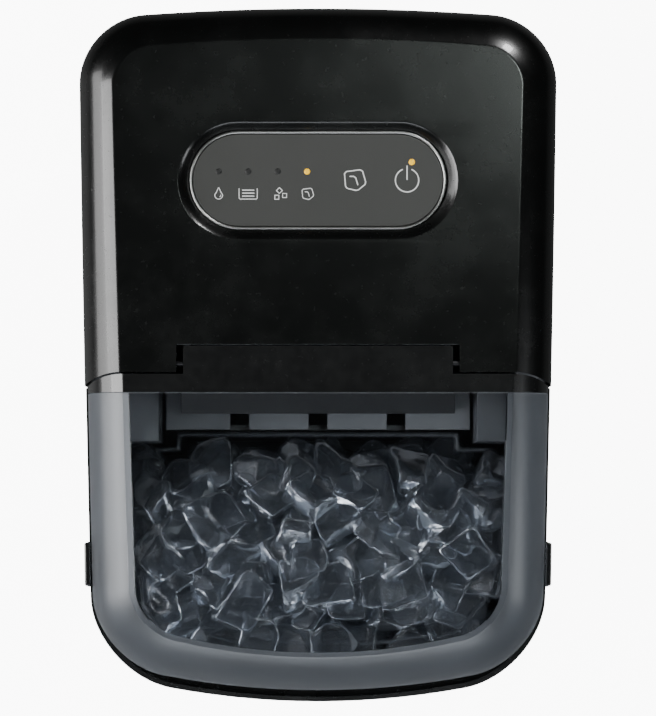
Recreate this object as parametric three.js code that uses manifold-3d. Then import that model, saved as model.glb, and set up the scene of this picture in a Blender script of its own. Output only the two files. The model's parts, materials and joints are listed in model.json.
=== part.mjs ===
// Countertop bullet-ice maker: millimetres, +Z up, origin on the floor under the middle of the case.
// The front, with its see-through lid, faces -Y. The control panel is on the rear deck.
import * as THREE from 'three';
import { mergeVertices } from 'three/addons/utils/BufferGeometryUtils.js';
import Module from 'manifold-3d';

const wasm = await Module();
wasm.setup();

// ---- Driving dimensions -------------------------------------------------------------------
const WIDTH = 243.5;               // case, side to side at the rear
const DEPTH = 355;                // case, front to rear
const HEIGHT = 328;               // rear edge of the deck above the floor
const TOP_SLOPE = 0.10;           // the deck falls this much per mm at the rear edge
const TOP_CURVE = 0.000286;       // and this much more per mm squared towards the front
const FRONT_RADIUS = 42.5;         // plan radius of the front corners
const REAR_RADIUS = 33.5;          // plan radius of the rear corners
const RADIUS_SHRINK = 0.8;        // how fast a corner radius falls with an inset
const FRONT_BOW = 17;             // how far the front bulges at its middle
const REAR_BOW = 6;               // how far the rear bulges at its middle
const PLAN_TAPER = 0.026;         // share of the width lost from rear to front
const SHOULDER_WIDTH = 17;        // rounded shoulder, from the side to the deck's crease
const SHOULDER_DROP = 22;         // and its height
const SHOULDER_START = 25;        // slope of the shoulder just outside the crease, degrees
const SHOULDER_GROWTH = 0.2;      // the shoulder is this share wider at the front
const WALL = 2.5;                 // moulded wall thickness
const GAP = 0.35;                 // clearance between pieces that meet
const CASE_BOTTOM = 8;            // lower edge of the case above the floor
const BOTTOM_CHAMFER = 4;         // tucked-in lower edge of the case

const SEAM_Y = -7.5;              // joint between the deck cover and the lid
const SEAM_BEND_X = 100;          // over the shoulders, outside this, it bends forward
const SEAM_BEND = 0.0156;         // by this much per mm squared
const SEAM_GAP = 0.5;             // half the visible gap there
const COVER_SKIRT = 45;           // the cover reaches this far below the deck surface
const LID_SKIRT = 30;             // the lid reaches this far below it
const LID_SIDE_INSET = 1.5;       // the lid stands in from the case sides
const LID_FRONT_INSET = 5;        // and this much more at the front
const LID_BAND = 9.5;             // opaque band of the hinge bar in front of the seam
const NOTCH_WIDTH = 144;          // notch in the cover that takes the hinge tongue
const NOTCH_DEPTH = 14.5;
const TONGUE_WIDTH = 137;
const TONGUE_THICK = 6;
const HINGE_Y = SEAM_Y + 5;       // lid hinge axis, along X
const HINGE_DROP = 3;             // below the deck surface
const HINGE_Z = deckHeight(HINGE_Y) - HINGE_DROP;
const HINGE_CLEAR = 0.3;          // radial room round the hinge pins
const PIN_RADIUS = 1.5;
const TAB_Y = [-117, -93];        // finger tabs on the lid's sides
const TAB_PROUD = 2.3;
const TAB_HEIGHT = 8;

const PANEL_Y = 88.6;             // middle of the control panel
const RECESS = [139, 58];         // stadium cut into the deck
const PANEL = [127, 47];          // stadium panel face
const RECESS_DEPTH = 5;
const RIM_TOP = 1 - RECESS_DEPTH; // top of the bright rim, in the panel's frame
const PANEL_UNDERSIDE = -6.6;     // seat of the rim and the face
const LAMP_PITCH = 15;            // four status lamps
const SELECT_X = 19;              // middle of the select key
const POWER_X = 45.5;             // middle of the power key

const TUB_INSET = 16;             // liner cavity inside the case outline
const TUB_FLOOR = 95;
const TUB_REAR = 52;              // rear wall of the cavity
const BASKET_INSET = 23;          // basket outside the case outline
const BASKET_FLOOR = 128;
const BASKET_RIM = 222;
const BASKET_FRONT_INSET = 5;     // and this much more at the front
const BASKET_REAR = -35.3;
const BASKET_STEP_Y = -43.3;       // the basket is narrower behind this, between the sensor pods
const BASKET_STEP_HALF = 75;
const BASKET_WALL = 2;
const BASKET_POST_X = 72;         // posts in the tub that carry the basket
const BASKET_POST_Y = [-128, -62];
const ICE_CLEAR = 10;             // room between the heap of ice and the basket walls
const ICE_DOME = 10;              // rise of the heap's middle over the basket's rim

const TRAY_Y = 22;                // tilting water tray axis, along X
const TRAY_Z = 232;
const TRAY_RADIUS = 24;
const TRAY_HALF = 70;             // half length of the tray
const FINGERS = 9;                // freezing fingers of the evaporator
const FINGER_PITCH = 14.5;
const LEDGE_TOP = 222;            // ice ledge with the comb
const COMB_HALF = 80.5;
const COMB_PITCH = 41.5;
const COMB_SLOT = 10;
const SHOVEL_Y = -13.5;
const COMB_REAR = -5;
const HOOD_HALF = 71;             // sloping hood over the ledge
const POD_X = [82.5, 99.3];       // ice-level sensor pods
const POD_Y = [-41, -11.3];
const POD_Z = [200, 262];

const COMPRESSOR = [-48, 112];    // plan position
const COMPRESSOR_RADIUS = 44;
const FAN_Y = 113;                // fan axis, along X
const FAN_Z = 74;
const FAN_RADIUS = 40;
const PUMP = [30, -20];
const DRAIN = [-60, 34];          // y and z of the drain outlet in the right side
const REAR_WINDOW = { half: 88, low: 20, high: 255, y: 150 };
const REAR_SCREWS = [[-78, 30], [78, 30], [-78, 244], [78, 244]];
const VENT = { y: [68, 158], low: 34, high: 120 };
const CABLE = { x: -74, z: 60 };
const FOOT_PLACES = {
  front_left: [-84, -128], front_right: [84, -128], rear_left: [-86, 132], rear_right: [86, 132],
};

// Limits beyond the case, for shapes that only cut.
const SIDE = 140;
const END = 220;
const SKY = 400;

// ---- Solids from three.js geometry --------------------------------------------------------
function solidOf(geometry) {
  const bare = geometry.clone();
  bare.deleteAttribute('normal');
  bare.deleteAttribute('uv');
  const merged = mergeVertices(bare, 1e-4);
  const vertProperties = new Float32Array(merged.attributes.position.array);
  const triVerts = new Uint32Array(merged.index.array);
  return new wasm.Manifold(new wasm.Mesh({ numProp: 3, vertProperties, triVerts }));
}

function geometryOf(solid) {
  const mesh = solid.getMesh();
  const geometry = new THREE.BufferGeometry();
  geometry.setAttribute('position', new THREE.BufferAttribute(mesh.vertProperties, 3));
  geometry.setIndex(new THREE.BufferAttribute(mesh.triVerts, 1));
  return geometry;
}

function union(...solids) {
  return solids.reduce((sum, solid) => sum.add(solid));
}

function box(low, high) {
  const size = high.map((value, axis) => value - low[axis]);
  const middle = high.map((value, axis) => (value + low[axis]) / 2);
  return solidOf(new THREE.BoxGeometry(...size).translate(...middle));
}

// A round bar from one point along an axis letter.
function bar(axis, start, length, radius, sides = 24, endRadius = radius) {
  const geometry = new THREE.CylinderGeometry(endRadius, radius, length, sides);
  geometry.translate(0, length / 2, 0);
  if (axis === 'x') {
    geometry.rotateZ(-Math.PI / 2);
  }
  if (axis === 'z') {
    geometry.rotateX(Math.PI / 2);
  }
  return solidOf(geometry.translate(...start));
}

// A flat outline of [x, y] points carried up from one height to another.
function prism(points, low, high) {
  const shape = new THREE.Shape(points.map(([x, y]) => new THREE.Vector2(x, y)));
  const geometry = new THREE.ExtrudeGeometry(shape, { depth: high - low, bevelEnabled: false });
  return solidOf(geometry.translate(0, 0, low));
}

// The same span on the left side of the case or, for a side of 1, on the right.
function mirrored(side, [near, far]) {
  return side > 0 ? [near, far] : [-far, -near];
}

// A prism for an outline of [y, z] points carried along X.
function prismX(points, low, high) {
  const shape = new THREE.Shape(points.map(([y, z]) => new THREE.Vector2(y, z)));
  const geometry = new THREE.ExtrudeGeometry(shape, { depth: high - low, bevelEnabled: false });
  geometry.rotateZ(Math.PI / 2);
  geometry.rotateY(Math.PI / 2);
  return solidOf(geometry.translate(low, 0, 0));
}

// A profile of [radius, z] points turned round an upright axis.
function lathe(profile, x, y, sides = 32) {
  const points = profile.map(([radius, z]) => new THREE.Vector2(radius, z));
  const geometry = new THREE.LatheGeometry(points, sides);
  return solidOf(geometry.rotateX(Math.PI / 2).translate(x, y, 0));
}

// A round pipe along a smooth curve through the points.
function pipe(points, radius, steps, sides = 8) {
  const corners = points.map((point) => new THREE.Vector3(...point));
  const path = new THREE.CatmullRomCurve3(corners, false, 'centripetal');
  const section = new THREE.Shape();
  section.absarc(0, 0, radius, 0, 2 * Math.PI);
  const options = { steps, curveSegments: sides / 2, extrudePath: path, bevelEnabled: false };
  return solidOf(new THREE.ExtrudeGeometry(section, options));
}

// Stadium outline, wide along X.
function stadium(width, height, steps = 10) {
  const radius = height / 2;
  const reach = width / 2 - radius;
  const points = [];
  for (const side of [1, -1]) {
    for (let i = 0; i <= steps; i += 1) {
      const angle = -Math.PI / 2 * side + Math.PI * i / steps;
      points.push([side * reach + radius * Math.cos(angle), radius * Math.sin(angle)]);
    }
  }
  return points;
}

// ---- Outer form of the case ---------------------------------------------------------------
// Height of the deck surface at a given y.
function deckHeight(y) {
  const run = DEPTH / 2 - y;
  return HEIGHT - TOP_SLOPE * run - TOP_CURVE * run * run;
}

// Right half of the plan outline, from the middle of the front to the middle of the rear.
function halfOutline(inset, frontInset = 0) {
  const halfWidth = WIDTH / 2 - inset;
  const front = -DEPTH / 2 + inset + frontInset;
  const rear = DEPTH / 2 - inset;
  const frontRadius = Math.max(FRONT_RADIUS - RADIUS_SHRINK * (inset + frontInset), 8);
  const rearRadius = Math.max(REAR_RADIUS - RADIUS_SHRINK * inset, 8);
  const points = [];
  const arc = (cx, cy, radius, from, steps) => {
    for (let i = 0; i <= steps; i += 1) {
      const angle = from + Math.PI / 2 * i / steps;
      points.push([cx + radius * Math.cos(angle), cy + radius * Math.sin(angle)]);
    }
  };
  for (let i = 0; i < 4; i += 1) {
    points.push([(halfWidth - frontRadius) * i / 4, front]);
  }
  arc(halfWidth - frontRadius, front + frontRadius, frontRadius, -Math.PI / 2, 8);
  const sideStart = front + frontRadius;
  const sideEnd = rear - rearRadius;
  for (let i = 1; i < 10; i += 1) {
    points.push([halfWidth, sideStart + (sideEnd - sideStart) * i / 10]);
  }
  arc(halfWidth - rearRadius, rear - rearRadius, rearRadius, 0, 6);
  for (let i = 1; i <= 4; i += 1) {
    points.push([(halfWidth - rearRadius) * (1 - i / 4), rear]);
  }
  return points.map(([x, y]) => {
    const run = (DEPTH / 2 - y) / DEPTH;
    const bow = (y < 0 ? FRONT_BOW : REAR_BOW) / (DEPTH / 2);
    const grown = x - inset * SHOULDER_GROWTH * run * x / halfWidth;
    return [grown * (1 - PLAN_TAPER * run), y * (1 - bow * (x / halfWidth) ** 2)];
  });
}

function outline(inset, frontInset = 0) {
  const right = halfOutline(inset, frontInset);
  const left = right.slice(1, -1).reverse().map(([x, y]) => [-x, y]);
  return [...right, ...left];
}

// Closed loft of the whole case: tucked bottom edge, upright sides, rounded shoulder, deck.
// side, top and front move its faces inwards.
function caseForm({ side = 0, top = 0, front = 0 } = {}) {
  const start = THREE.MathUtils.degToRad(SHOULDER_START);
  const crease = 1 - Math.sin(start);
  const rings = [
    { inset: side + BOTTOM_CHAMFER, height: () => CASE_BOTTOM + top },
    { inset: side, height: () => CASE_BOTTOM + top + BOTTOM_CHAMFER },
  ];
  const steps = 6;
  for (let i = 0; i <= steps; i += 1) {
    const angle = Math.PI / 2 + (start - Math.PI / 2) * i / steps;
    const inset = side + SHOULDER_WIDTH * (1 - Math.sin(angle)) / crease;
    const drop = top + SHOULDER_DROP * (1 - Math.cos(angle) / Math.cos(start));
    rings.push({ inset, height: (y) => deckHeight(y) - drop });
  }
  const positions = [];
  const index = [];
  for (const ring of rings) {
    for (const [x, y] of outline(ring.inset, front)) {
      positions.push(x, y, ring.height(y));
    }
  }
  const count = outline(0).length;
  for (let r = 0; r < rings.length - 1; r += 1) {
    for (let i = 0; i < count; i += 1) {
      const a = r * count + i;
      const b = r * count + (i + 1) % count;
      index.push(a, b, b + count, a, b + count, a + count);
    }
  }
  // Caps: straight strips between mirrored points, because the deck only falls along Y.
  const half = count / 2;
  const strip = (base, flip) => {
    for (let i = 0; i < half; i += 1) {
      const quad = [base + i, base + i + 1, base + (count - i - 1) % count, base + (count - i) % count];
      const faces = [[0, 1, 2], [0, 2, 3]];
      for (const [a, b, c] of faces) {
        if (quad[a] !== quad[b] && quad[b] !== quad[c] && quad[a] !== quad[c]) {
          index.push(quad[a], flip ? quad[c] : quad[b], flip ? quad[b] : quad[c]);
        }
      }
    }
  };
  strip(0, true);
  strip((rings.length - 1) * count, false);
  const geometry = new THREE.BufferGeometry();
  geometry.setAttribute('position', new THREE.Float32BufferAttribute(positions, 3));
  geometry.setIndex(index);
  return solidOf(geometry);
}

// Everything below a surface that lies a given drop under the deck.
function below(drop, low = -20) {
  const points = [];
  for (let i = 0; i <= 24; i += 1) {
    const y = END - 2 * END * i / 24;
    points.push([y, deckHeight(y) - drop]);
  }
  return prismX([...points, [-END, low], [END, low]], -SIDE, SIDE);
}

// The layer between two drops under the deck.
function between(upperDrop, lowerDrop) {
  return below(upperDrop).subtract(below(lowerDrop, -30));
}

// Plan region in front of the seam, moved by a shift along Y.
function frontOfSeam(shift, bend = SEAM_BEND) {
  const points = [[-SIDE, -END], [SIDE, -END]];
  for (let i = 0; i <= 40; i += 1) {
    const x = SIDE - 2 * SIDE * i / 40;
    const overhang = Math.max(Math.abs(x) - SEAM_BEND_X, 0);
    points.push([x, SEAM_Y + shift - bend * overhang * overhang]);
  }
  return prism(points, 100, SKY);
}

const deckForm = caseForm();
const deckInner = caseForm({ side: WALL, top: WALL });

// ---- Case ---------------------------------------------------------------------------------
function basePan() {
  return prism(outline(BOTTOM_CHAMFER + WALL + 2), CASE_BOTTOM + 1, CASE_BOTTOM + 1 + WALL);
}

function foot(x, y) {
  const top = CASE_BOTTOM + 1 - GAP;
  return lathe([[0, 0], [10, 0], [11, 1], [11, 6], [8, top], [0, top]], x, y, 20);
}

// Case walls, cut lower under the cover than under the lid, with a lip round the lid's front.
function bodyShell() {
  const frontPart = below(LID_SKIRT + GAP).intersect(frontOfSeam(-SEAM_GAP));
  const underCover = below(COVER_SKIRT + GAP);
  const lipHole = caseForm({ side: WALL, top: 0, front: LID_FRONT_INSET + 2 });
  const lipLayer = between(LID_SKIRT + GAP, LID_SKIRT + 4).intersect(frontOfSeam(-SEAM_GAP));
  const lip = deckForm.intersect(lipLayer).subtract(lipHole);
  const hollow = caseForm({ side: WALL, top: -40 });
  const wall = deckForm.subtract(hollow).intersect(union(underCover, frontPart));
  const { half, low, high, y } = REAR_WINDOW;
  const window = box([-half, y, low], [half, END, high]);
  const vents = [-1, 1].map((side) => {
    const [x0, x1] = mirrored(side, [100, SIDE]);
    return box([x0, VENT.y[0], VENT.low], [x1, VENT.y[1], VENT.high]);
  });
  const drain = bar('x', [90, DRAIN[0], DRAIN[1]], 50, 11.5);
  return union(wall, lip).subtract(union(window, ...vents, drain));
}

// Rear closing panel with louvre slots, its flange screwed inside the case's rear window.
function rearPanel() {
  const { half, low, high, y } = REAR_WINDOW;
  const region = box([-half + GAP, y, low + GAP], [half - GAP, END, high - GAP]);
  const slots = [];
  for (let i = 0; i < 8; i += 1) {
    const z = 150 + 11 * i;
    slots.push(box([-60, y, z], [60, END, z + 5]));
  }
  const bores = REAR_SCREWS.map(([x, z]) => bar('y', [x, y, z], 50, 2.2, 12));
  const inlet = bar('y', [CABLE.x, y, CABLE.z], 50, 7, 16);
  return deckForm.subtract(deckInner).intersect(region).subtract(union(...slots, ...bores, inlet));
}

// The rear face's y at a given x.
function rearSkinY(x) {
  return DEPTH / 2 - REAR_BOW * (2 * x / WIDTH) ** 2;
}

function rearScrew(x, z) {
  const y = rearSkinY(x);
  const head = bar('y', [x, y + 0.6, z], 1.4, 4.2, 16, 3.2);
  return head.add(bar('y', [x, y - 9, z], 10, 1.8, 12));
}

function cableInlet() {
  const y = rearSkinY(CABLE.x);
  const collar = bar('y', [CABLE.x, y + 0.8, CABLE.z], 1.1, 9.5, 20);
  const neck = bar('y', [CABLE.x, y - 9, CABLE.z], 10, 6.5, 20);
  const bore = bar('y', [CABLE.x, y - 12, CABLE.z], 20, 4.4, 16);
  return collar.add(neck).subtract(bore);
}

// Louvred side grille clipped into the opening in the case side.
function ventGrille(side) {
  const [x0, x1] = mirrored(side, [100, SIDE]);
  const [y0, y1] = VENT.y;
  const region = box([x0, y0 + GAP, VENT.low + GAP], [x1, y1 - GAP, VENT.high - GAP]);
  const slots = [];
  for (let i = 0; i < 7; i += 1) {
    const z = VENT.low + 7 + 11 * i;
    slots.push(box([x0, y0 + 8, z], [x1, y1 - 8, z + 6]));
  }
  return deckForm.subtract(deckInner).intersect(region).subtract(union(...slots));
}

// Rear deck with its shoulders, the hinge notch with its cheeks, and the panel's recess.
function topCover() {
  const region = between(-5, COVER_SKIRT).subtract(frontOfSeam(SEAM_GAP));
  const half = NOTCH_WIDTH / 2;
  const notch = box([-half, -60, 200], [half, SEAM_Y + NOTCH_DEPTH, SKY]);
  const cheeks = [-1, 1].map((side) => prismX(notchProfile(0.4, 9), ...mirrored(side, [half, half + WALL])));
  const shell = deckForm.subtract(deckInner).intersect(region).subtract(notch);
  return union(shell, ...cheeks).subtract(hingeBore(half + 10)).subtract(panelSpace(stadium(...RECESS)));
}

// Side profile of the notch's cheeks: it follows the deck from the seam to the notch's rear.
function notchProfile(upperDrop, lowerDrop) {
  const front = SEAM_Y + SEAM_GAP + 0.6;
  const rear = SEAM_Y + NOTCH_DEPTH + WALL;
  return [
    [front, deckHeight(front) - upperDrop], [front, deckHeight(front) - lowerDrop],
    [rear, deckHeight(rear) - lowerDrop], [rear, deckHeight(rear) - upperDrop],
  ];
}

function hingeBore(reach) {
  return bar('x', [-reach, HINGE_Y, HINGE_Z], 2 * reach, PIN_RADIUS + HINGE_CLEAR, 16);
}

// From inside the tongue's end to just past the cheek.
function hingePin(side) {
  const [start, end] = mirrored(side, [TONGUE_WIDTH / 2 - 9, NOTCH_WIDTH / 2 + WALL + 1]);
  return bar('x', [start, HINGE_Y, HINGE_Z], end - start, PIN_RADIUS, 16);
}

// ---- Lid ----------------------------------------------------------------------------------
function lidShell() {
  const outer = caseForm({ side: LID_SIDE_INSET, front: LID_FRONT_INSET });
  const inner = caseForm({ side: LID_SIDE_INSET + WALL, top: WALL, front: LID_FRONT_INSET });
  return outer.subtract(inner).intersect(between(-5, LID_SKIRT));
}

function lidWindow() {
  const window = lidShell().intersect(frontOfSeam(-SEAM_GAP - LID_BAND, 0));
  const tabs = [-1, 1].map((side) => fingerTab(side));
  return union(window, ...tabs);
}

// Small lip that a finger lifts, standing out from the lid's lower edge.
function fingerTab(side) {
  const run = (DEPTH / 2 - TAB_Y[0]) / DEPTH;
  const reach = (WIDTH / 2) * (1 - PLAN_TAPER * run) + TAB_PROUD;
  const [x0, x1] = mirrored(side, [reach - 5, reach]);
  const block = box([x0, TAB_Y[0], 100], [x1, TAB_Y[1], SKY]);
  return block.intersect(between(LID_SKIRT - TAB_HEIGHT, LID_SKIRT));
}

// Opaque band along the lid's rear edge with the hinge tongue that fills the cover's notch.
function lidHingeBar() {
  const front = SEAM_Y - SEAM_GAP - LID_BAND + GAP;
  const rear = SEAM_Y + NOTCH_DEPTH - 1;
  const half = TONGUE_WIDTH / 2;
  const glazed = frontOfSeam(-SEAM_GAP - LID_BAND + GAP, 0);
  const band = lidShell().intersect(frontOfSeam(-SEAM_GAP)).subtract(glazed);
  const tongue = box([-half, front, 200], [half, rear, SKY]).intersect(between(0, TONGUE_THICK));
  const middle = box([10 - half, -60, 200], [half - 10, 60, SKY]);
  return band.add(tongue).subtract(hingeBore(half + 1).subtract(middle));
}

// ---- Control panel, in its own frame: +Z out of the deck, origin on the deck surface --------
const panelGroup = new THREE.Group();
const panelSlope = TOP_SLOPE + 2 * TOP_CURVE * (DEPTH / 2 - PANEL_Y);
panelGroup.position.set(0, PANEL_Y, deckHeight(PANEL_Y));
panelGroup.rotation.x = Math.atan(panelSlope);
panelGroup.updateMatrix();

// A tall prism over a panel outline, for cutting the deck.
function panelSpace(points) {
  const shape = new THREE.Shape(points.map(([x, y]) => new THREE.Vector2(x, y)));
  const geometry = new THREE.ExtrudeGeometry(shape, { depth: 60, bevelEnabled: false });
  geometry.translate(0, 0, -30).applyMatrix4(panelGroup.matrix);
  return solidOf(geometry);
}

// Straight-sided loft between two outlines with the same number of points.
function frustum(lower, low, upper, high) {
  const count = lower.length;
  const positions = [];
  lower.forEach(([x, y]) => positions.push(x, y, low));
  upper.forEach(([x, y]) => positions.push(x, y, high));
  positions.push(0, 0, low, 0, 0, high);
  const index = [];
  for (let i = 0; i < count; i += 1) {
    const next = (i + 1) % count;
    index.push(i, next, next + count, i, next + count, i + count);
    index.push(2 * count, next, i, 2 * count + 1, i + count, next + count);
  }
  const geometry = new THREE.BufferGeometry();
  geometry.setAttribute('position', new THREE.Float32BufferAttribute(positions, 3));
  geometry.setIndex(index);
  return solidOf(geometry);
}

function recessBezel() {
  const outer = prism(stadium(RECESS[0] - 2 * GAP, RECESS[1] - 2 * GAP), -9, -0.6);
  const floorSize = [PANEL[0] + 4, PANEL[1] + 4];
  const mouth = [RECESS[0] - 2, RECESS[1] - 2];
  const hollow = frustum(stadium(...floorSize), -7, stadium(...mouth), 0);
  const windows = union(
    box([-57, -13, -12], [11, 13, -6]),
    box([SELECT_X - 7, -9, -12], [POWER_X + 9, 13, -6]),
  );
  return outer.subtract(hollow).subtract(windows);
}

function panelRim() {
  const ring = prism(stadium(PANEL[0] + 3, PANEL[1] + 3), PANEL_UNDERSIDE, RIM_TOP);
  return ring.subtract(prism(stadium(PANEL[0], PANEL[1]), -12, 0));
}

function panelFace() {
  return prism(stadium(PANEL[0] - 2 * GAP, PANEL[1] - 2 * GAP), PANEL_UNDERSIDE, RIM_TOP - 0.5);
}

function keySwitch(x) {
  return bar('z', [x, 0, -11.2], 4, 4.5, 16);
}

function lightGuide() {
  const posts = [0, 1, 2, 3].map((i) => bar('z', [-50 + LAMP_PITCH * i, 4.5, -10], 3, 1.4, 12));
  return union(box([-54, 2, -11], [0, 8, -8]), ...posts);
}

function controlBoard() {
  const board = box([-58, -15, -14], [58, 15, -12.2]);
  return board.add(box([-40, -11, -20], [-10, 6, -14])).add(box([20, -9, -18], [44, 9, -14]));
}

// ---- Cold box -----------------------------------------------------------------------------
// The case outline moved inwards, cut off at a rear wall, above a floor.
function tubRegion(inset, rear, floor) {
  return prism(outline(inset), floor, SKY).intersect(box([-SIDE, -END, 0], [SIDE, rear, SKY]));
}

function linerTub() {
  const block = tubRegion(TUB_INSET - WALL, TUB_REAR + WALL, TUB_FLOOR - WALL);
  const shell = block.intersect(below(LID_SKIRT + 5));
  const flange = caseForm({ side: WALL + 0.4, top: 0, front: LID_FRONT_INSET + 2.4 })
    .intersect(between(LID_SKIRT + 1.5, LID_SKIRT + 6))
    .intersect(box([-SIDE, -END, 0], [SIDE, TUB_REAR + 8, SKY]));
  const cavity = tubRegion(TUB_INSET, TUB_REAR, TUB_FLOOR);
  const drainHole = bar('z', [60, DRAIN[0], 80], 30, 5, 16);
  const pumpHole = bar('z', [PUMP[0], PUMP[1], 80], 30, 5, 16);
  const postHeight = BASKET_FLOOR - TUB_FLOOR + 1 - GAP;
  const posts = [-1, 1].flatMap((side) => BASKET_POST_Y.map((y) => (
    bar('z', [side * BASKET_POST_X, y, TUB_FLOOR - 1], postHeight, 4, 12))));
  return shell.add(flange).subtract(union(cavity, drainHole, pumpHole)).add(union(...posts));
}

function insulationFoam() {
  const block = caseForm({ side: WALL + 3, top: 0 })
    .intersect(box([-SIDE, -END, TUB_FLOOR - 12], [SIDE, TUB_REAR + 6, 215]));
  const tub = tubRegion(TUB_INSET - WALL - GAP, TUB_REAR + WALL + GAP, TUB_FLOOR - WALL - GAP);
  const pumpNeck = bar('z', [PUMP[0], PUMP[1], 70], 40, 9, 16);
  const drainNeck = bar('z', [60, DRAIN[0], 70], 40, 9, 16);
  return block.subtract(union(tub, pumpNeck, drainNeck));
}

// Ledge that the ice is pushed over, ending in a comb with three slots, under a sloping splash hood.
function iceGuideComb() {
  const front = BASKET_REAR + 1.5;
  const ledge = box([-COMB_HALF, front, LEDGE_TOP - 4], [COMB_HALF, COMB_REAR, LEDGE_TOP]);
  const apron = box([-COMB_HALF, front, LEDGE_TOP - 22], [COMB_HALF, front + 3, LEDGE_TOP - 3]);
  const slots = [-1, 0, 1].map((i) => {
    const x = COMB_PITCH * i;
    const half = COMB_SLOT / 2;
    return box([x - half, front - 1, LEDGE_TOP - 17], [x + half, front + 9, LEDGE_TOP + 1]);
  });
  const hood = prismX([[-27, 262], [-25, 260], [-8, 271], [-8, 274]].reverse(), -HOOD_HALF, HOOD_HALF);
  const rails = [-1, 1].map((side) => {
    const [x0, x1] = mirrored(side, [HOOD_HALF - 3, HOOD_HALF]);
    return box([x0, -25, LEDGE_TOP - 1], [x1, -8, 262]);
  });
  const struts = [-1, 1].map((side) => {
    const [x0, x1] = mirrored(side, [HOOD_HALF - 3, HOOD_HALF]);
    return prismX([[-25, 260], [-8, 260], [-8, 272], [-25, 261]].reverse(), x0, x1);
  });
  const ties = [-1, 1].map((side) => {
    const [x0, x1] = mirrored(side, [COMB_HALF - 1, 99]);
    return box([x0, POD_Y[1] + 1, LEDGE_TOP - 4], [x1, COMB_REAR, LEDGE_TOP]);
  });
  return union(ledge, apron).subtract(union(...slots)).add(union(hood, ...rails, ...struts, ...ties));
}

// Pod on each side wall that looks across the basket for the ice level.
function sensorPod(side) {
  const [x0, x1] = mirrored(side, POD_X);
  const pod = box([x0, POD_Y[0], POD_Z[0]], [x1, POD_Y[1], POD_Z[1]]);
  const eye = bar('x', [side > 0 ? 78 : -90, POD_Y[0] + 8, LEDGE_TOP + 10], 12, 4, 16);
  return pod.subtract(eye);
}

// Basket plan: the case outline further in, with a narrower part at the rear; extra moves it inwards.
function basketRegion(extra, floor, ceiling) {
  const half = BASKET_STEP_HALF - extra;
  const wide = prism(outline(BASKET_INSET + extra, BASKET_FRONT_INSET), floor, ceiling)
    .intersect(box([-SIDE, -END, floor], [SIDE, BASKET_STEP_Y - extra, ceiling]));
  return wide.add(box([-half, BASKET_STEP_Y - 24, floor], [half, BASKET_REAR - extra, ceiling]));
}

function iceBasket() {
  const body = basketRegion(0, BASKET_FLOOR, BASKET_RIM);
  const hollow = basketRegion(BASKET_WALL, BASKET_FLOOR + BASKET_WALL, SKY);
  const drains = [];
  for (let i = -3; i <= 3; i += 1) {
    drains.push(box([22 * i - 3, -130, BASKET_FLOOR - 1], [22 * i + 3, -60, BASKET_FLOOR + 5]));
  }
  return body.subtract(union(hollow, ...drains));
}

// The heap of ice: the basket's outline, domed over the rim.
function icePile() {
  const floor = BASKET_FLOOR + BASKET_WALL + GAP;
  const middle = (BASKET_REAR - DEPTH / 2 + BASKET_INSET + BASKET_FRONT_INSET) / 2;
  const crown = [];
  for (let i = 0; i <= 12; i += 1) {
    const offset = 60 - 10 * i;
    const rise = (ICE_DOME + 6) * (1 - (offset / 62) ** 2);
    crown.push([middle + offset, BASKET_RIM - 6 + rise]);
  }
  const dome = prismX([...crown, [middle - 60, floor], [middle + 60, floor]], -100, 100);
  return basketRegion(BASKET_WALL + ICE_CLEAR, floor, SKY).intersect(dome);
}

// ---- Ice making ---------------------------------------------------------------------------
// Cooled bar with freezing fingers that dip into the water tray.
function evaporator() {
  const reach = FINGER_PITCH * (FINGERS - 1) / 2;
  const fingers = [];
  for (let i = 0; i < FINGERS; i += 1) {
    fingers.push(bar('z', [FINGER_PITCH * i - reach, TRAY_Y, TRAY_Z - 16], 24, 3.6, 14, 4.6));
  }
  return union(bar('x', [-reach - 6, TRAY_Y, TRAY_Z + 8], 2 * reach + 12, 5, 16), ...fingers);
}

function evaporatorBracket() {
  const cheeks = [-1, 1].map((side) => {
    const [x0, x1] = mirrored(side, [74, 77]);
    return box([x0, 12, TRAY_Z - 8], [x1, 32, 280]);
  });
  const trunnionBore = bar('x', [-90, TRAY_Y, TRAY_Z], 180, 3.3, 16);
  const pipeHoles = [-50, 50].map((x) => bar('z', [x, TRAY_Y, 270], 20, 5.5, 16));
  return union(box([-108, 8, 279], [108, 34, 281.5]), ...cheeks).subtract(union(trunnionBore, ...pipeHoles));
}

// Half-round trough that swings on its two trunnions.
function waterTray() {
  const outer = bar('x', [-TRAY_HALF, TRAY_Y, TRAY_Z], 2 * TRAY_HALF, TRAY_RADIUS, 32);
  const inner = bar('x', [2 - TRAY_HALF, TRAY_Y, TRAY_Z], 2 * TRAY_HALF - 4, TRAY_RADIUS - 2, 32);
  const upper = box([-90, TRAY_Y - 40, TRAY_Z], [90, TRAY_Y + 40, TRAY_Z + 40]);
  const ends = [-1, 1].map((side) => {
    const [hub] = mirrored(side, [TRAY_HALF - 2, TRAY_HALF]);
    const [trunnion] = mirrored(side, [TRAY_HALF - 1, TRAY_HALF + 7.5]);
    return bar('x', [hub, TRAY_Y, TRAY_Z], 2, 6, 16).add(bar('x', [trunnion, TRAY_Y, TRAY_Z], 8.5, 3, 16));
  });
  return outer.subtract(union(inner, upper)).add(union(...ends));
}

function trayMotor() {
  const can = bar('x', [78, TRAY_Y, TRAY_Z], 17, 13, 24);
  const ears = box([78, TRAY_Y - 4, TRAY_Z - 18], [80.5, TRAY_Y + 4, TRAY_Z + 18]);
  return can.add(ears);
}

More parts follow.
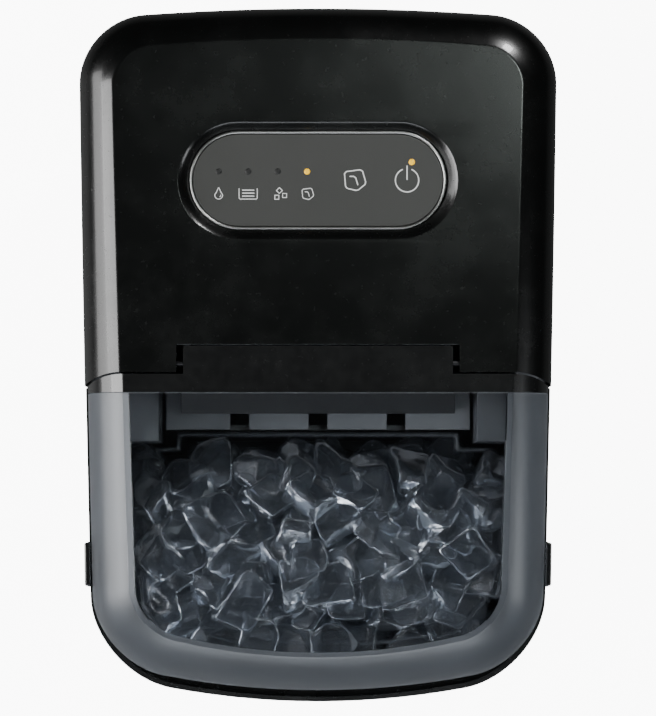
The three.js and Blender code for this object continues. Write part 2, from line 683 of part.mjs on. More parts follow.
// Slotted plate that pushes the ice along the ledge.
function iceShovel() {
  const low = LEDGE_TOP + 1.5;
  const high = LEDGE_TOP + 28;
  const plate = box([-67, SHOVEL_Y - 1.5, low], [67, SHOVEL_Y + 1.5, high]);
  const flange = box([-67, SHOVEL_Y - 1.5, high - 3], [67, SHOVEL_Y + 6, high]);
  const slots = [-2, -1, 0, 1, 2].map((i) => (
    box([26 * i - 3, SHOVEL_Y - 5, LEDGE_TOP], [26 * i + 3, SHOVEL_Y + 5, LEDGE_TOP + 12])));
  return plate.add(flange).subtract(union(...slots));
}

// ---- Water --------------------------------------------------------------------------------
function waterPump() {
  const can = bar('z', [PUMP[0], PUMP[1], 34], 34, 17, 24);
  const volute = bar('z', [PUMP[0], PUMP[1], 68.2], 10, 20, 24);
  const inlet = bar('z', [PUMP[0], PUMP[1], 78], 17, 4.5, 16);
  const outlet = bar('y', [PUMP[0], PUMP[1] + 15, 73], 14, 4, 16);
  return union(can.add(volute), bar('z', [PUMP[0], PUMP[1], 60], 20, 12), inlet, outlet);
}

function pumpHose() {
  const [x, y] = PUMP;
  const route = [
    [x, y + 29.5, 73], [x, 40, 73], [x, 58, 74], [x, 65, 84], [x, 66, 120], [x, 66, 200],
    [x, 66, 268], [x, 63, 284], [x, 54, 290], [x, 45, 287], [x, 40.5, 277], [x, 40, 266],
  ];
  return pipe(route, 3.5, 26);
}

function drainHose() {
  const [y, z] = DRAIN;
  const route = [[60, y, 96], [60, y, 80], [61, y, 60], [66, y, 44], [76, y, 36], [88, y, z], [100, y, z]];
  return pipe(route, 4.4, 12);
}

function drainSpout() {
  const [y, z] = DRAIN;
  const tube = bar('x', [100.4, y, z], 14.2, 8.5, 24);
  const bore = bar('x', [99, y, z], 30, 5.4, 24);
  return tube.subtract(bore);
}

function drainCap() {
  const [y, z] = DRAIN;
  const head = bar('x', [115, y, z], 3.6, 10.5, 24, 9.5);
  const plug = bar('x', [106, y, z], 10, 5, 24);
  return head.add(plug);
}

// ---- Refrigeration ------------------------------------------------------------------------
function compressorLower() {
  const [x, y] = COMPRESSOR;
  const r = COMPRESSOR_RADIUS;
  return lathe([[0, 22], [r - 16, 22], [r - 5, 28], [r, 40], [r, 84], [0, 84]], x, y);
}

function compressorUpper() {
  const [x, y] = COMPRESSOR;
  const r = COMPRESSOR_RADIUS;
  const joint = 84 + GAP;
  const dome = [
    [0, joint], [r + 2, joint], [r + 2, 92], [r - 1, 96], [r - 3, 120], [r - 14, 136], [r - 30, 143],
    [0, 145],
  ];
  return lathe(dome, x, y);
}

function compressorPlate() {
  const [x, y] = COMPRESSOR;
  const points = [];
  for (let i = 0; i < 3; i += 1) {
    const angle = Math.PI / 2 + 2 * Math.PI * i / 3;
    for (const spread of [-0.28, 0.28]) {
      points.push([x + 50 * Math.cos(angle + spread), y + 50 * Math.sin(angle + spread)]);
    }
  }
  return prism(points, 18.5, 21.5);
}

function compressorGrommet(i) {
  const [x, y] = COMPRESSOR;
  const angle = Math.PI / 2 + 2 * Math.PI * i / 3;
  const floor = CASE_BOTTOM + 1 + WALL + GAP;
  const profile = [[0, floor], [8, floor], [6.5, 14.5], [8, 18], [0, 18]];
  return lathe(profile, x + 42 * Math.cos(angle), y + 42 * Math.sin(angle), 16);
}

// Finned core: upright fins on a common spine, with the tube rows along it.
function condenser() {
  const [y0, y1] = [70, 156];
  const fins = 13;
  const pitch = (y1 - y0 - 1.4) / (fins - 1);
  const points = [[62, y0]];
  for (let i = 0; i < fins; i += 1) {
    const y = y0 + pitch * i;
    points.push([66, y], [66, y + 1.4]);
    if (i < fins - 1) {
      points.push([60, y + 1.4], [60, y + pitch]);
    }
  }
  const core = prism([[50, y0], ...points.slice(1), [50, y1]], 26, 122);
  const bends = [0, 1, 2].map((i) => box([52, y1 - 1, 36 + 28 * i], [58, y1 + 5, 54 + 28 * i]));
  return union(core, ...bends);
}

function fanShroud() {
  const plate = box([70, 64, 14], [74, 162, 124]);
  return plate.subtract(bar('x', [60, FAN_Y, FAN_Z], 30, FAN_RADIUS + 3, 40));
}

// Motor can on three legs that stand on the shroud.
function fanMotor() {
  const legs = [0, 1, 2].flatMap((i) => {
    const angle = Math.PI / 2 + 2 * Math.PI * i / 3;
    const arm = new THREE.BoxGeometry(4, 40, 6).translate(98, 30, 0).rotateX(angle);
    const leg = new THREE.BoxGeometry(26, 4, 6).translate(87.4, 48, 0).rotateX(angle);
    return [arm, leg].map((part) => solidOf(part.translate(0, FAN_Y, FAN_Z)));
  });
  return union(bar('x', [93, FAN_Y, FAN_Z], 17, 14, 24), ...legs);
}

function fanBlade() {
  const hub = bar('x', [78, FAN_Y, FAN_Z], 11, 12, 24).subtract(bar('x', [84, FAN_Y, FAN_Z], 10, 2.2, 12));
  const blades = [0, 1, 2, 3, 4].map((i) => {
    const blade = new THREE.BoxGeometry(2, 29, 24).rotateY(0.55).translate(82.5, 25, 0);
    return solidOf(blade.rotateX(2 * Math.PI * i / 5).translate(0, FAN_Y, FAN_Z));
  });
  return union(hub, ...blades).intersect(bar('x', [70, FAN_Y, FAN_Z], 30, FAN_RADIUS, 40));
}

function filterDrier() {
  return lathe([[0, 60], [3, 62], [8, 68], [8, 108], [3, 114], [0, 116]], 22, 150, 16);
}

function suctionPipe() {
  const [x, y] = COMPRESSOR;
  const route = [
    [-50, TRAY_Y, TRAY_Z + 13.5], [-50, TRAY_Y, 268], [-50, TRAY_Y, 284], [-50, 30, 292], [-50, 50, 293],
    [-50, 68, 290], [-52, 76, 274], [-52, 78, 220], [-50, 84, 180], [x, y - 14, 160], [x, y - 8, 145.5],
  ];
  return pipe(route, 3.2, 26);
}

function dischargePipe() {
  const [x, y] = COMPRESSOR;
  const route = [
    [x + 12, y + 8, 145.8], [x + 14, y + 8, 157], [-10, 108, 164], [20, 100, 158], [44, 100, 146],
    [56, 104, 134], [56, 104, 122.5],
  ];
  return pipe(route, 2.6, 22);
}

function hotGasPipe() {
  const route = [
    [50, TRAY_Y, TRAY_Z + 13.5], [50, TRAY_Y, 268], [50, TRAY_Y, 284], [50, 30, 292], [48, 52, 292],
    [46, 70, 286], [44, 78, 262], [40, 100, 216], [34, 128, 202], [24, 137, 192], [22, 138, 184],
    [22, 138, 176.5],
  ];
  return pipe(route, 2.6, 26);
}

function gasValve() {
  const coil = bar('z', [22, 138, 140], 24, 11, 20);
  const stem = bar('z', [22, 138, 160], 16, 5, 16);
  const ports = bar('y', [22, 120, 138], 30, 4, 12);
  const seat = bar('z', [22, 138, 134], 8, 6, 12);
  return union(coil, stem, ports, seat);
}

function capillaryTube() {
  const route = [
    [22, 150, 116.4], [22, 151, 121], [26, 154, 125], [34, 156, 127], [40, 158, 132], [42, 160, 140],
  ];
  return pipe(route, 1.6, 10);
}

function powerBoard() {
  const board = box([-100, 78, 206], [-20, 152, 208]);
  const transformer = box([-92, 116, 207], [-62, 146, 234]);
  const relays = box([-50, 100, 207], [-30, 140, 224]);
  return union(board.subtract(box([-66, 60, 200], [-36, 100, 215])), transformer, relays);
}

// ---- Assembly -----------------------------------------------------------------------------
const FINISH = {
  black: { color: 0x141516, roughness: 0.28, metalness: 0 },
  deck: { color: 0x1b1d1d, roughness: 0.22, metalness: 0 },
  rubber: { color: 0x1a1a1a, roughness: 0.9, metalness: 0 },
  smoke: { color: 0x5c6064, roughness: 0.08, metalness: 0 },
  chrome: { color: 0xc8c8c4, roughness: 0.15, metalness: 1 },
  panel: { color: 0x4d4d4a, roughness: 0.45, metalness: 0 },
  grey: { color: 0x8f9396, roughness: 0.45, metalness: 0 },
  foam: { color: 0xd9d4c0, roughness: 0.95, metalness: 0 },
  ice: { color: 0xc8d4dc, roughness: 0.08, metalness: 0 },
  steel: { color: 0xb4b6b8, roughness: 0.35, metalness: 1 },
  copper: { color: 0xb8764a, roughness: 0.35, metalness: 1 },
  board: { color: 0x1f5a38, roughness: 0.6, metalness: 0 },
  white: { color: 0xe4e4e0, roughness: 0.5, metalness: 0 },
};

const group = new THREE.Group();
group.name = 'ice_maker';

function addPiece(parent, name, solid, finish) {
  const mesh = new THREE.Mesh(geometryOf(solid), new THREE.MeshStandardMaterial(FINISH[finish]));
  mesh.name = name;
  parent.add(mesh);
}

const housing = new THREE.Group();
addPiece(housing, 'base_pan', basePan(), 'steel');
for (const [place, [x, y]] of Object.entries(FOOT_PLACES)) {
  addPiece(housing, `foot_${place}`, foot(x, y), 'rubber');
}
addPiece(housing, 'body_shell', bodyShell(), 'black');
addPiece(housing, 'rear_panel', rearPanel(), 'black');
REAR_SCREWS.forEach(([x, z], i) => {
  addPiece(housing, `rear_screw_${i + 1}`, rearScrew(x, z), 'steel');
});
addPiece(housing, 'cable_inlet', cableInlet(), 'rubber');
addPiece(housing, 'vent_grille_left', ventGrille(-1), 'black');
addPiece(housing, 'vent_grille_right', ventGrille(1), 'black');
addPiece(housing, 'top_cover', topCover(), 'deck');
addPiece(housing, 'hinge_pin_left', hingePin(-1), 'steel');
addPiece(housing, 'hinge_pin_right', hingePin(1), 'steel');
addPiece(panelGroup, 'recess_bezel', recessBezel(), 'deck');
addPiece(panelGroup, 'panel_rim', panelRim(), 'chrome');
addPiece(panelGroup, 'panel_face', panelFace(), 'panel');
addPiece(panelGroup, 'select_key', keySwitch(SELECT_X), 'white');
addPiece(panelGroup, 'power_key', keySwitch(POWER_X), 'white');
addPiece(panelGroup, 'light_guide', lightGuide(), 'white');
addPiece(panelGroup, 'control_board', controlBoard(), 'board');
housing.add(panelGroup);

const lid = new THREE.Group();
addPiece(lid, 'lid_window', lidWindow(), 'smoke');
addPiece(lid, 'lid_hinge_bar', lidHingeBar(), 'black');

const coldBox = new THREE.Group();
addPiece(coldBox, 'liner_tub', linerTub(), 'grey');
addPiece(coldBox, 'insulation_foam', insulationFoam(), 'foam');
addPiece(coldBox, 'ice_guide_comb', iceGuideComb(), 'grey');
addPiece(coldBox, 'sensor_pod_left', sensorPod(-1), 'grey');
addPiece(coldBox, 'sensor_pod_right', sensorPod(1), 'grey');
addPiece(coldBox, 'ice_basket', iceBasket(), 'grey');
addPiece(coldBox, 'ice_pile', icePile(), 'ice');

const iceMaking = new THREE.Group();
addPiece(iceMaking, 'evaporator', evaporator(), 'steel');
addPiece(iceMaking, 'evaporator_bracket', evaporatorBracket(), 'steel');
addPiece(iceMaking, 'water_tray', waterTray(), 'grey');
addPiece(iceMaking, 'tray_motor', trayMotor(), 'steel');
addPiece(iceMaking, 'ice_shovel', iceShovel(), 'grey');
addPiece(iceMaking, 'water_pump', waterPump(), 'white');
addPiece(iceMaking, 'pump_hose', pumpHose(), 'white');
addPiece(iceMaking, 'drain_hose', drainHose(), 'white');
addPiece(iceMaking, 'drain_spout', drainSpout(), 'black');
addPiece(iceMaking, 'drain_cap', drainCap(), 'rubber');

const cooling = new THREE.Group();
addPiece(cooling, 'compressor_lower', compressorLower(), 'black');
addPiece(cooling, 'compressor_upper', compressorUpper(), 'black');
addPiece(cooling, 'compressor_plate', compressorPlate(), 'steel');
for (let i = 0; i < 3; i += 1) {
  addPiece(cooling, `compressor_grommet_${i + 1}`, compressorGrommet(i), 'rubber');
}
addPiece(cooling, 'condenser', condenser(), 'steel');
addPiece(cooling, 'fan_shroud', fanShroud(), 'black');
addPiece(cooling, 'fan_motor', fanMotor(), 'steel');
addPiece(cooling, 'fan_blade', fanBlade(), 'white');
addPiece(cooling, 'filter_drier', filterDrier(), 'copper');
addPiece(cooling, 'suction_pipe', suctionPipe(), 'copper');
addPiece(cooling, 'discharge_pipe', dischargePipe(), 'copper');
addPiece(cooling, 'hot_gas_pipe', hotGasPipe(), 'copper');
addPiece(cooling, 'gas_valve', gasValve(), 'copper');
addPiece(cooling, 'capillary_tube', capillaryTube(), 'copper');
addPiece(cooling, 'power_board', powerBoard(), 'board');

group.add(housing, lid, coldBox, iceMaking, cooling);

export default group;
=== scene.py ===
"""Looks of the countertop ice maker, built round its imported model; millimetres until a mesh is made."""
import json
import math

import bmesh
import bpy
import numpy as np
from mathutils import Matrix, Vector


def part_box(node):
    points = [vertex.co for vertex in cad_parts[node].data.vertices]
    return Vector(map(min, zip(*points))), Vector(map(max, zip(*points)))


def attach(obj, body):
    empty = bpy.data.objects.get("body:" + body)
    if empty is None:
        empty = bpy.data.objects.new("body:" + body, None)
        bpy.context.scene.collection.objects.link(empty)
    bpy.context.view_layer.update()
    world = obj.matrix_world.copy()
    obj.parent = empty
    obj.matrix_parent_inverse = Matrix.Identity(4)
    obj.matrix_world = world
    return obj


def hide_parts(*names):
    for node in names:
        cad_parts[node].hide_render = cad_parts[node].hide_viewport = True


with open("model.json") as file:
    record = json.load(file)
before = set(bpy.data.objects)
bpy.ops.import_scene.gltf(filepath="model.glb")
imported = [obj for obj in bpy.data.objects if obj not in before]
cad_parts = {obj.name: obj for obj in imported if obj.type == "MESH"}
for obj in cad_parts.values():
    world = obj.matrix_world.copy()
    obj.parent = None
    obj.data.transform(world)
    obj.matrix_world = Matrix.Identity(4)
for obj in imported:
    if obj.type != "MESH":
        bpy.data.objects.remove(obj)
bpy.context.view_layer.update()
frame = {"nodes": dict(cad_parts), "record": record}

MM = 0.001

# ---- Driving dimensions of the case, the same as the model's --------------------------------
WIDTH = 243.5
DEPTH = 355
HEIGHT = 328
TOP_SLOPE = 0.10
TOP_CURVE = 0.000286
FRONT_RADIUS = 42.5
REAR_RADIUS = 33.5
RADIUS_SHRINK = 0.8
FRONT_BOW = 17
REAR_BOW = 6
PLAN_TAPER = 0.026
SHOULDER_WIDTH = 17
SHOULDER_DROP = 22
SHOULDER_START = 25
SHOULDER_GROWTH = 0.2
CREASE_ROUND = 0.35
WALL = 2.5
GAP = 0.35
CASE_BOTTOM = 8
BOTTOM_CHAMFER = 4
SEAM_Y = -7.5
SEAM_BEND_X = 100
SEAM_BEND = 0.0156
SEAM_GAP = 0.5
COVER_SKIRT = 45
LID_SKIRT = 30
LID_SIDE_INSET = 1.5
LID_FRONT_INSET = 5
LID_BAND = 9.5
NOTCH_WIDTH = 144
NOTCH_DEPTH = 14.5
TONGUE_WIDTH = 137
TONGUE_THICK = 6
TAB_Y = (-117, -93)
TAB_PROUD = 2.3
TAB_HEIGHT = 8
PANEL_Y = 88.6
RECESS = (139, 58)
PANEL = (127, 47)
FACE_DEPTH = 4.5
TUB_INSET = 16
TUB_FLOOR = 95
TUB_REAR = 52
BASKET_INSET = 23
BASKET_FRONT_INSET = 5
BASKET_STEP_Y = -43.3
BASKET_STEP_HALF = 75
LEDGE_TOP = 222
LEDGE_REAR = -5
COMB_HALF = 80.5
COMB_PITCH = 41.5
COMB_SLOT = 10
HOOD_HALF = 71
LIFT_ROOM = 19.5


# ---- Meshes ---------------------------------------------------------------------------------
def make(name, points, faces):
    """An object from points in millimetres and lists of point numbers."""
    mesh = bpy.data.meshes.new(name)
    mesh.from_pydata((np.asarray(points, float) * MM).tolist(), [], faces)
    obj = bpy.data.objects.new(name, mesh)
    bpy.context.scene.collection.objects.link(obj)
    return obj


def grid_faces(rows, columns, wrap=True):
    """Quads between neighbours of rows x columns points; wrap joins each row's last point to its first."""
    span = columns if wrap else columns - 1
    row, column = np.meshgrid(np.arange(rows - 1), np.arange(span), indexing="ij")
    ahead = (column + 1) % columns
    quads = np.stack([row * columns + column, row * columns + ahead,
                      (row + 1) * columns + ahead, (row + 1) * columns + column], -1)
    return quads.reshape(-1, 4).tolist()


def prism(name, outline, low, high):
    """A flat outline carried straight up between two heights."""
    outline = np.asarray(outline, float)
    count = len(outline)
    lower = np.column_stack([outline, np.full(count, low)])
    upper = np.column_stack([outline, np.full(count, high)])
    faces = grid_faces(2, count) + [list(range(count))[::-1], list(range(count, 2 * count))]
    return make(name, np.vstack([lower, upper]), faces)


def block(name, low, high):
    """An upright box between two corners."""
    (x0, y0, z0), (x1, y1, z1) = low, high
    return prism(name, [(x0, y0), (x1, y0), (x1, y1), (x0, y1)], z0, z1)


def fix_normals(obj):
    """Turns every face of a closed mesh outwards."""
    shape = bmesh.new()
    shape.from_mesh(obj.data)
    bmesh.ops.recalc_face_normals(shape, faces=shape.faces)
    shape.to_mesh(obj.data)
    shape.free()


def combine(base, other, operation="DIFFERENCE"):
    """base cut by, kept inside or joined to other, which is used up."""
    fix_normals(base)
    fix_normals(other)
    modifier = base.modifiers.new("combine", "BOOLEAN")
    modifier.operation = operation
    modifier.solver = "EXACT"
    modifier.object = other
    graph = bpy.context.evaluated_depsgraph_get()
    mesh = bpy.data.meshes.new_from_object(base.evaluated_get(graph))
    base.modifiers.clear()
    old = base.data
    base.data = mesh
    bpy.data.meshes.remove(old)
    bpy.data.objects.remove(other)
    return base


def join(name, *objects):
    """Several objects' meshes in one, each moved nowhere."""
    shared = bmesh.new()
    for obj in objects:
        shared.from_mesh(obj.data)
    mesh = bpy.data.meshes.new(name)
    shared.to_mesh(mesh)
    shared.free()
    for obj in objects:
        bpy.data.objects.remove(obj)
    joined = bpy.data.objects.new(name, mesh)
    bpy.context.scene.collection.objects.link(joined)
    return joined


def soften(obj, width, segments=2, angle=32):
    """Rounds the edges sharper than an angle and shades the rest smoothly."""
    mesh = obj.data
    for polygon in mesh.polygons:
        polygon.use_smooth = True
    if width:
        bevel = obj.modifiers.new("edges", "BEVEL")
        bevel.width = width * MM
        bevel.segments = segments
        bevel.limit_method = "ANGLE"
        bevel.angle_limit = math.radians(angle)
        bevel.harden_normals = True
        bevel.miter_outer = "MITER_ARC"
        if angle >= 40:
            weighted = obj.modifiers.new("flats", "WEIGHTED_NORMAL")
            weighted.keep_sharp = True
    else:
        mesh.set_sharp_from_angle(angle=math.radians(angle))
    return obj


def finish_piece(obj, material, body, slot, *nodes):
    """Gives a piece its material and body and hides the nodes it stands for; slot is not used."""
    obj.data.materials.clear()
    obj.data.materials.append(material)
    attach(obj, body)
    if nodes:
        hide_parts(*nodes)
    return obj


def refined(node, material, body, slot, width=0.4, angle=28):
    """A copy of a model node with its doubles merged, its flats made whole and its edges rounded."""
    shape = bmesh.new()
    shape.from_mesh(frame["nodes"][node].data)
    bmesh.ops.remove_doubles(shape, verts=shape.verts, dist=2e-6)
    bmesh.ops.dissolve_limit(shape, angle_limit=math.radians(0.6), verts=shape.verts, edges=shape.edges)
    mesh = bpy.data.meshes.new(node + "_look")
    shape.to_mesh(mesh)
    shape.free()
    obj = bpy.data.objects.new(node + "_look", mesh)
    bpy.context.scene.collection.objects.link(obj)
    soften(obj, width, 2, angle)
    return finish_piece(obj, material, body, slot, node)


# ---- Form of the case -----------------------------------------------------------------------
def deck_height(y):
    """Height of the deck: a parabola that falls towards the front."""
    run = DEPTH / 2 - y
    return HEIGHT - TOP_SLOPE * run - TOP_CURVE * run * run


def arc(cx, cy, radius, start, steps):
    """Points of a quarter circle from a start angle."""
    angle = start + np.linspace(0, math.pi / 2, steps + 1)
    return np.column_stack([cx + radius * np.cos(angle), cy + radius * np.sin(angle)])


def half_outline(inset, front_inset=0.0):
    """Right half of the plan: a rounded rectangle, bowed at both ends and narrowed towards the front."""
    half = WIDTH / 2 - inset
    front = -DEPTH / 2 + inset + front_inset
    rear = DEPTH / 2 - inset
    front_radius = max(FRONT_RADIUS - RADIUS_SHRINK * (inset + front_inset), 8)
    rear_radius = max(REAR_RADIUS - RADIUS_SHRINK * inset, 8)
    along_front = np.linspace(0, half - front_radius, 8)[:-1]
    along_side = np.linspace(front + front_radius, rear - rear_radius, 61)[1:-1]
    along_rear = np.linspace(half - rear_radius, 0, 10)[1:]
    points = np.vstack([
        np.column_stack([along_front, np.full(7, front)]),
        arc(half - front_radius, front + front_radius, front_radius, -math.pi / 2, 22),
        np.column_stack([np.full(59, half), along_side]),
        arc(half - rear_radius, rear - rear_radius, rear_radius, 0, 18),
        np.column_stack([along_rear, np.full(9, rear)]),
    ])
    x, y = points.T
    run = (DEPTH / 2 - y) / DEPTH
    bow = np.where(y < 0, FRONT_BOW, REAR_BOW) / (DEPTH / 2)
    grown = x - inset * SHOULDER_GROWTH * run * x / half
    return np.column_stack([grown * (1 - PLAN_TAPER * run), y * (1 - bow * (x / half) ** 2)])


def outline(inset, front_inset=0.0):
    """The whole plan: the right half, then its mirror image."""
    right = half_outline(inset, front_inset)
    return np.vstack([right, (right[1:-1] * (-1, 1))[::-1]])


def form(name, side=0.0, top=0.0, front=0.0, skirt=None):
    """Closed loft of the case. Outlines are stacked up the side, then follow an elliptic shoulder that
    ends in a small round at the crease; strips between mirrored points close the deck. skirt starts it
    below the deck."""
    start = math.radians(SHOULDER_START)
    if skirt is None:
        low = CASE_BOTTOM + top
        rings = [(side + BOTTOM_CHAMFER, None, low), (side, None, low + BOTTOM_CHAMFER)]
    else:
        rings = [(side, skirt, None), (side, 0.5 * (skirt + SHOULDER_DROP + top), None)]
    for angle in np.linspace(math.pi / 2, start, 19):
        inset = side + SHOULDER_WIDTH * (1 - math.sin(angle)) / (1 - math.sin(start))
        drop = top + SHOULDER_DROP * (1 - math.cos(angle) / math.cos(start)) + CREASE_ROUND
        rings.append((inset, drop, None))
    for share in (0.25, 0.5, 0.75, 1.0):
        inset = side + SHOULDER_WIDTH + 2 * CREASE_ROUND / math.tan(start) * share
        rings.append((inset, top + CREASE_ROUND * (1 - share) ** 2, None))
    layers = []
    for inset, drop, height in rings:
        plan = outline(inset, front)
        z = deck_height(plan[:, 1]) - drop if height is None else np.full(len(plan), height)
        layers.append(np.column_stack([plan, z]))
    count = len(layers[0])
    faces = grid_faces(len(layers), count)
    half = count // 2
    for base, flip in ((0, True), ((len(layers) - 1) * count, False)):
        for i in range(half):
            quad = [base + i, base + i + 1, base + (count - i - 1) % count, base + (count - i) % count]
            quad = list(dict.fromkeys(quad))
            faces.append(quad[::-1] if flip else quad)
    return make(name, np.vstack(layers), faces)



def under_deck(name, drop, low=-30.0):
    """Everything below a surface that lies a given drop under the deck."""
    y = np.linspace(200, -200, 81)
    z = deck_height(y) - drop
    side = np.vstack([np.column_stack([y, z]), [(-200, low), (200, low)]])
    count = len(side)
    points = np.vstack([np.column_stack([np.full(count, x), side]) for x in (-140, 140)])
    faces = grid_faces(2, count) + [list(range(count))[::-1], list(range(count, 2 * count))]
    return make(name, points, [face[::-1] for face in faces])


def before_seam(name, shift, bend=SEAM_BEND):
    """Plan region in front of the seam, which bends forward over the shoulders as a parabola."""
    x = np.linspace(130, -130, 105)
    overhang = np.maximum(np.abs(x) - SEAM_BEND_X, 0)
    curve = np.column_stack([x, SEAM_Y + shift - bend * overhang ** 2])
    return prism(name, np.vstack([[(-130, -220), (130, -220)], curve]), 100, 400)


def stadium(width, height, steps=24):
    """Stadium outline, wide along X."""
    radius = height / 2
    reach = width / 2 - radius
    angle = np.linspace(-math.pi / 2, math.pi / 2, steps + 1)
    right = np.column_stack([reach + radius * np.cos(angle), radius * np.sin(angle)])
    return np.vstack([right, -right])


panel_tilt = math.atan(TOP_SLOPE + 2 * TOP_CURVE * (DEPTH / 2 - PANEL_Y))
PANEL_FRAME = (Matrix.Translation(Vector((0, PANEL_Y, deck_height(PANEL_Y))) * MM)
               @ Matrix.Rotation(panel_tilt, 4, "X"))


def on_panel(obj):
    """Moves a mesh from the panel's own frame, +Z out of the deck, into the object's."""
    obj.data.transform(PANEL_FRAME)
    return obj


def closed_rings(name, outlines, heights):
    """A solid skin through outlines of the same point count; the last outline joins the first again."""
    layers = [np.column_stack([plan, np.full(len(plan), z)]) for plan, z in zip(outlines, heights)]
    count = len(layers[0])
    rows = len(layers)
    quads = np.array(grid_faces(rows + 1, count)) % (rows * count)
    obj = make(name, np.vstack(layers), quads.tolist())
    fix_normals(obj)
    return obj


def stacked(name, outlines, heights):
    """A solid through outlines of the same point count, closed flat at both ends."""
    layers = [np.column_stack([plan, np.full(len(plan), z)]) for plan, z in zip(outlines, heights)]
    count = len(layers[0])
    ends = [list(range(count)), list(range((len(layers) - 1) * count, len(layers) * count))]
    obj = make(name, np.vstack(layers), grid_faces(len(layers), count) + ends)
    fix_normals(obj)
    return obj


# ---- Shader groups --------------------------------------------------------------------------
def new_group(name, inputs, outputs):
    """An empty node group with named float inputs (name, default) and outputs (name, socket type)."""
    tree = bpy.data.node_groups.new(name, "ShaderNodeTree")
    for label, default in inputs:
        socket = tree.interface.new_socket(label, in_out="INPUT", socket_type="NodeSocketFloat")
        socket.default_value = default
    for label, kind in outputs:
        tree.interface.new_socket(label, in_out="OUTPUT", socket_type=kind)
    start = tree.nodes.new("NodeGroupInput")
    end = tree.nodes.new("NodeGroupOutput")
    return tree, start, end


def add(tree, kind, links=None, **settings):
    """A node with its settings, its plain input values and its links ({input: output socket})."""
    node = tree.nodes.new(kind)
    for key, value in settings.items():
        if key.startswith("in_"):
            node.inputs[key[3:].replace("_", " ")].default_value = value
        else:
            setattr(node, key, value)
    for key, source in (links or {}).items():
        tree.links.new(source, node.inputs[key])
    return node


def ramp(tree, source, low, high, low_value, high_value):
    """low_value to high_value as source goes from low to high."""
    node = add(tree, "ShaderNodeMapRange", {"Value": source})
    values = {"From Min": low, "From Max": high, "To Min": low_value, "To Max": high_value}
    for label, value in values.items():
        node.inputs[label].default_value = value
    return node.outputs["Result"]


def moulded_surface():
    """Moulded plastic: fine grain and slow waviness as a normal, plus a mask of faint marks and dust."""
    inputs = [("Grain size", 900), ("Grain depth", 0.1), ("Wave size", 18), ("Wave depth", 0.1)]
    outputs = [("Normal", "NodeSocketVector"), ("Marks", "NodeSocketFloat")]
    tree, start, end = new_group("moulded surface", inputs, outputs)
    place = add(tree, "ShaderNodeTexCoord").outputs["Object"]
    given = start.outputs
    grain = add(tree, "ShaderNodeTexNoise", {"Vector": place, "Scale": given["Grain size"]}, in_Detail=3)
    wave = add(tree, "ShaderNodeTexNoise", {"Vector": place, "Scale": given["Wave size"]}, in_Detail=2)
    fine_links = {"Height": grain.outputs["Fac"], "Strength": given["Grain depth"]}
    fine = add(tree, "ShaderNodeBump", fine_links, in_Distance=0.0002)
    broad_links = {"Height": wave.outputs["Fac"], "Strength": given["Wave depth"]}
    broad_links["Normal"] = fine.outputs["Normal"]
    broad = add(tree, "ShaderNodeBump", broad_links, in_Distance=0.002)
    smudge = add(tree, "ShaderNodeTexNoise", {"Vector": place}, in_Scale=34, in_Detail=6, in_Roughness=0.62)
    speck = add(tree, "ShaderNodeTexNoise", {"Vector": place}, in_Scale=420, in_Detail=2)
    dust = ramp(tree, speck.outputs["Fac"], 0.66, 0.74, 0, 0.5)
    haze = ramp(tree, smudge.outputs["Fac"], 0.42, 0.68, 0, 0.5)
    marks = add(tree, "ShaderNodeMath", operation="ADD")
    tree.links.new(dust, marks.inputs[0])
    tree.links.new(haze, marks.inputs[1])
    tree.links.new(broad.outputs["Normal"], end.inputs["Normal"])
    tree.links.new(marks.outputs[0], end.inputs["Marks"])
    return tree


def edge_wear():
    """A mask that is bright on convex edges, from the surface's pointiness, broken up by noise."""
    tree, start, end = new_group("edge wear", [("Amount", 0.5)], [("Mask", "NodeSocketFloat")])
    place = add(tree, "ShaderNodeTexCoord").outputs["Object"]
    point = add(tree, "ShaderNodeNewGeometry").outputs["Pointiness"]
    noise = add(tree, "ShaderNodeTexNoise", {"Vector": place}, in_Scale=160, in_Detail=4)
    edge = ramp(tree, point, 0.52, 0.62, 0, 1)
    broken = ramp(tree, noise.outputs["Fac"], 0.4, 0.7, 0.2, 1)
    product = add(tree, "ShaderNodeMath", operation="MULTIPLY")
    factors = {0: product.outputs[0], 1: start.outputs["Amount"]}
    scaled = add(tree, "ShaderNodeMath", factors, operation="MULTIPLY")
    tree.links.new(edge, product.inputs[0])
    tree.links.new(broken, product.inputs[1])
    tree.links.new(scaled.outputs[0], end.inputs["Mask"])
    return tree


SURFACE = moulded_surface()
WEAR = edge_wear()


# ---- Materials ------------------------------------------------------------------------------
def start_material(name):
    """A material with only its output and a Principled shader."""
    material = bpy.data.materials.new(name)
    material.use_nodes = True
    tree = material.node_tree
    tree.nodes.clear()
    output = tree.nodes.new("ShaderNodeOutputMaterial")
    shader = tree.nodes.new("ShaderNodeBsdfPrincipled")
    tree.links.new(shader.outputs["BSDF"], output.inputs["Surface"])
    return material, tree, shader


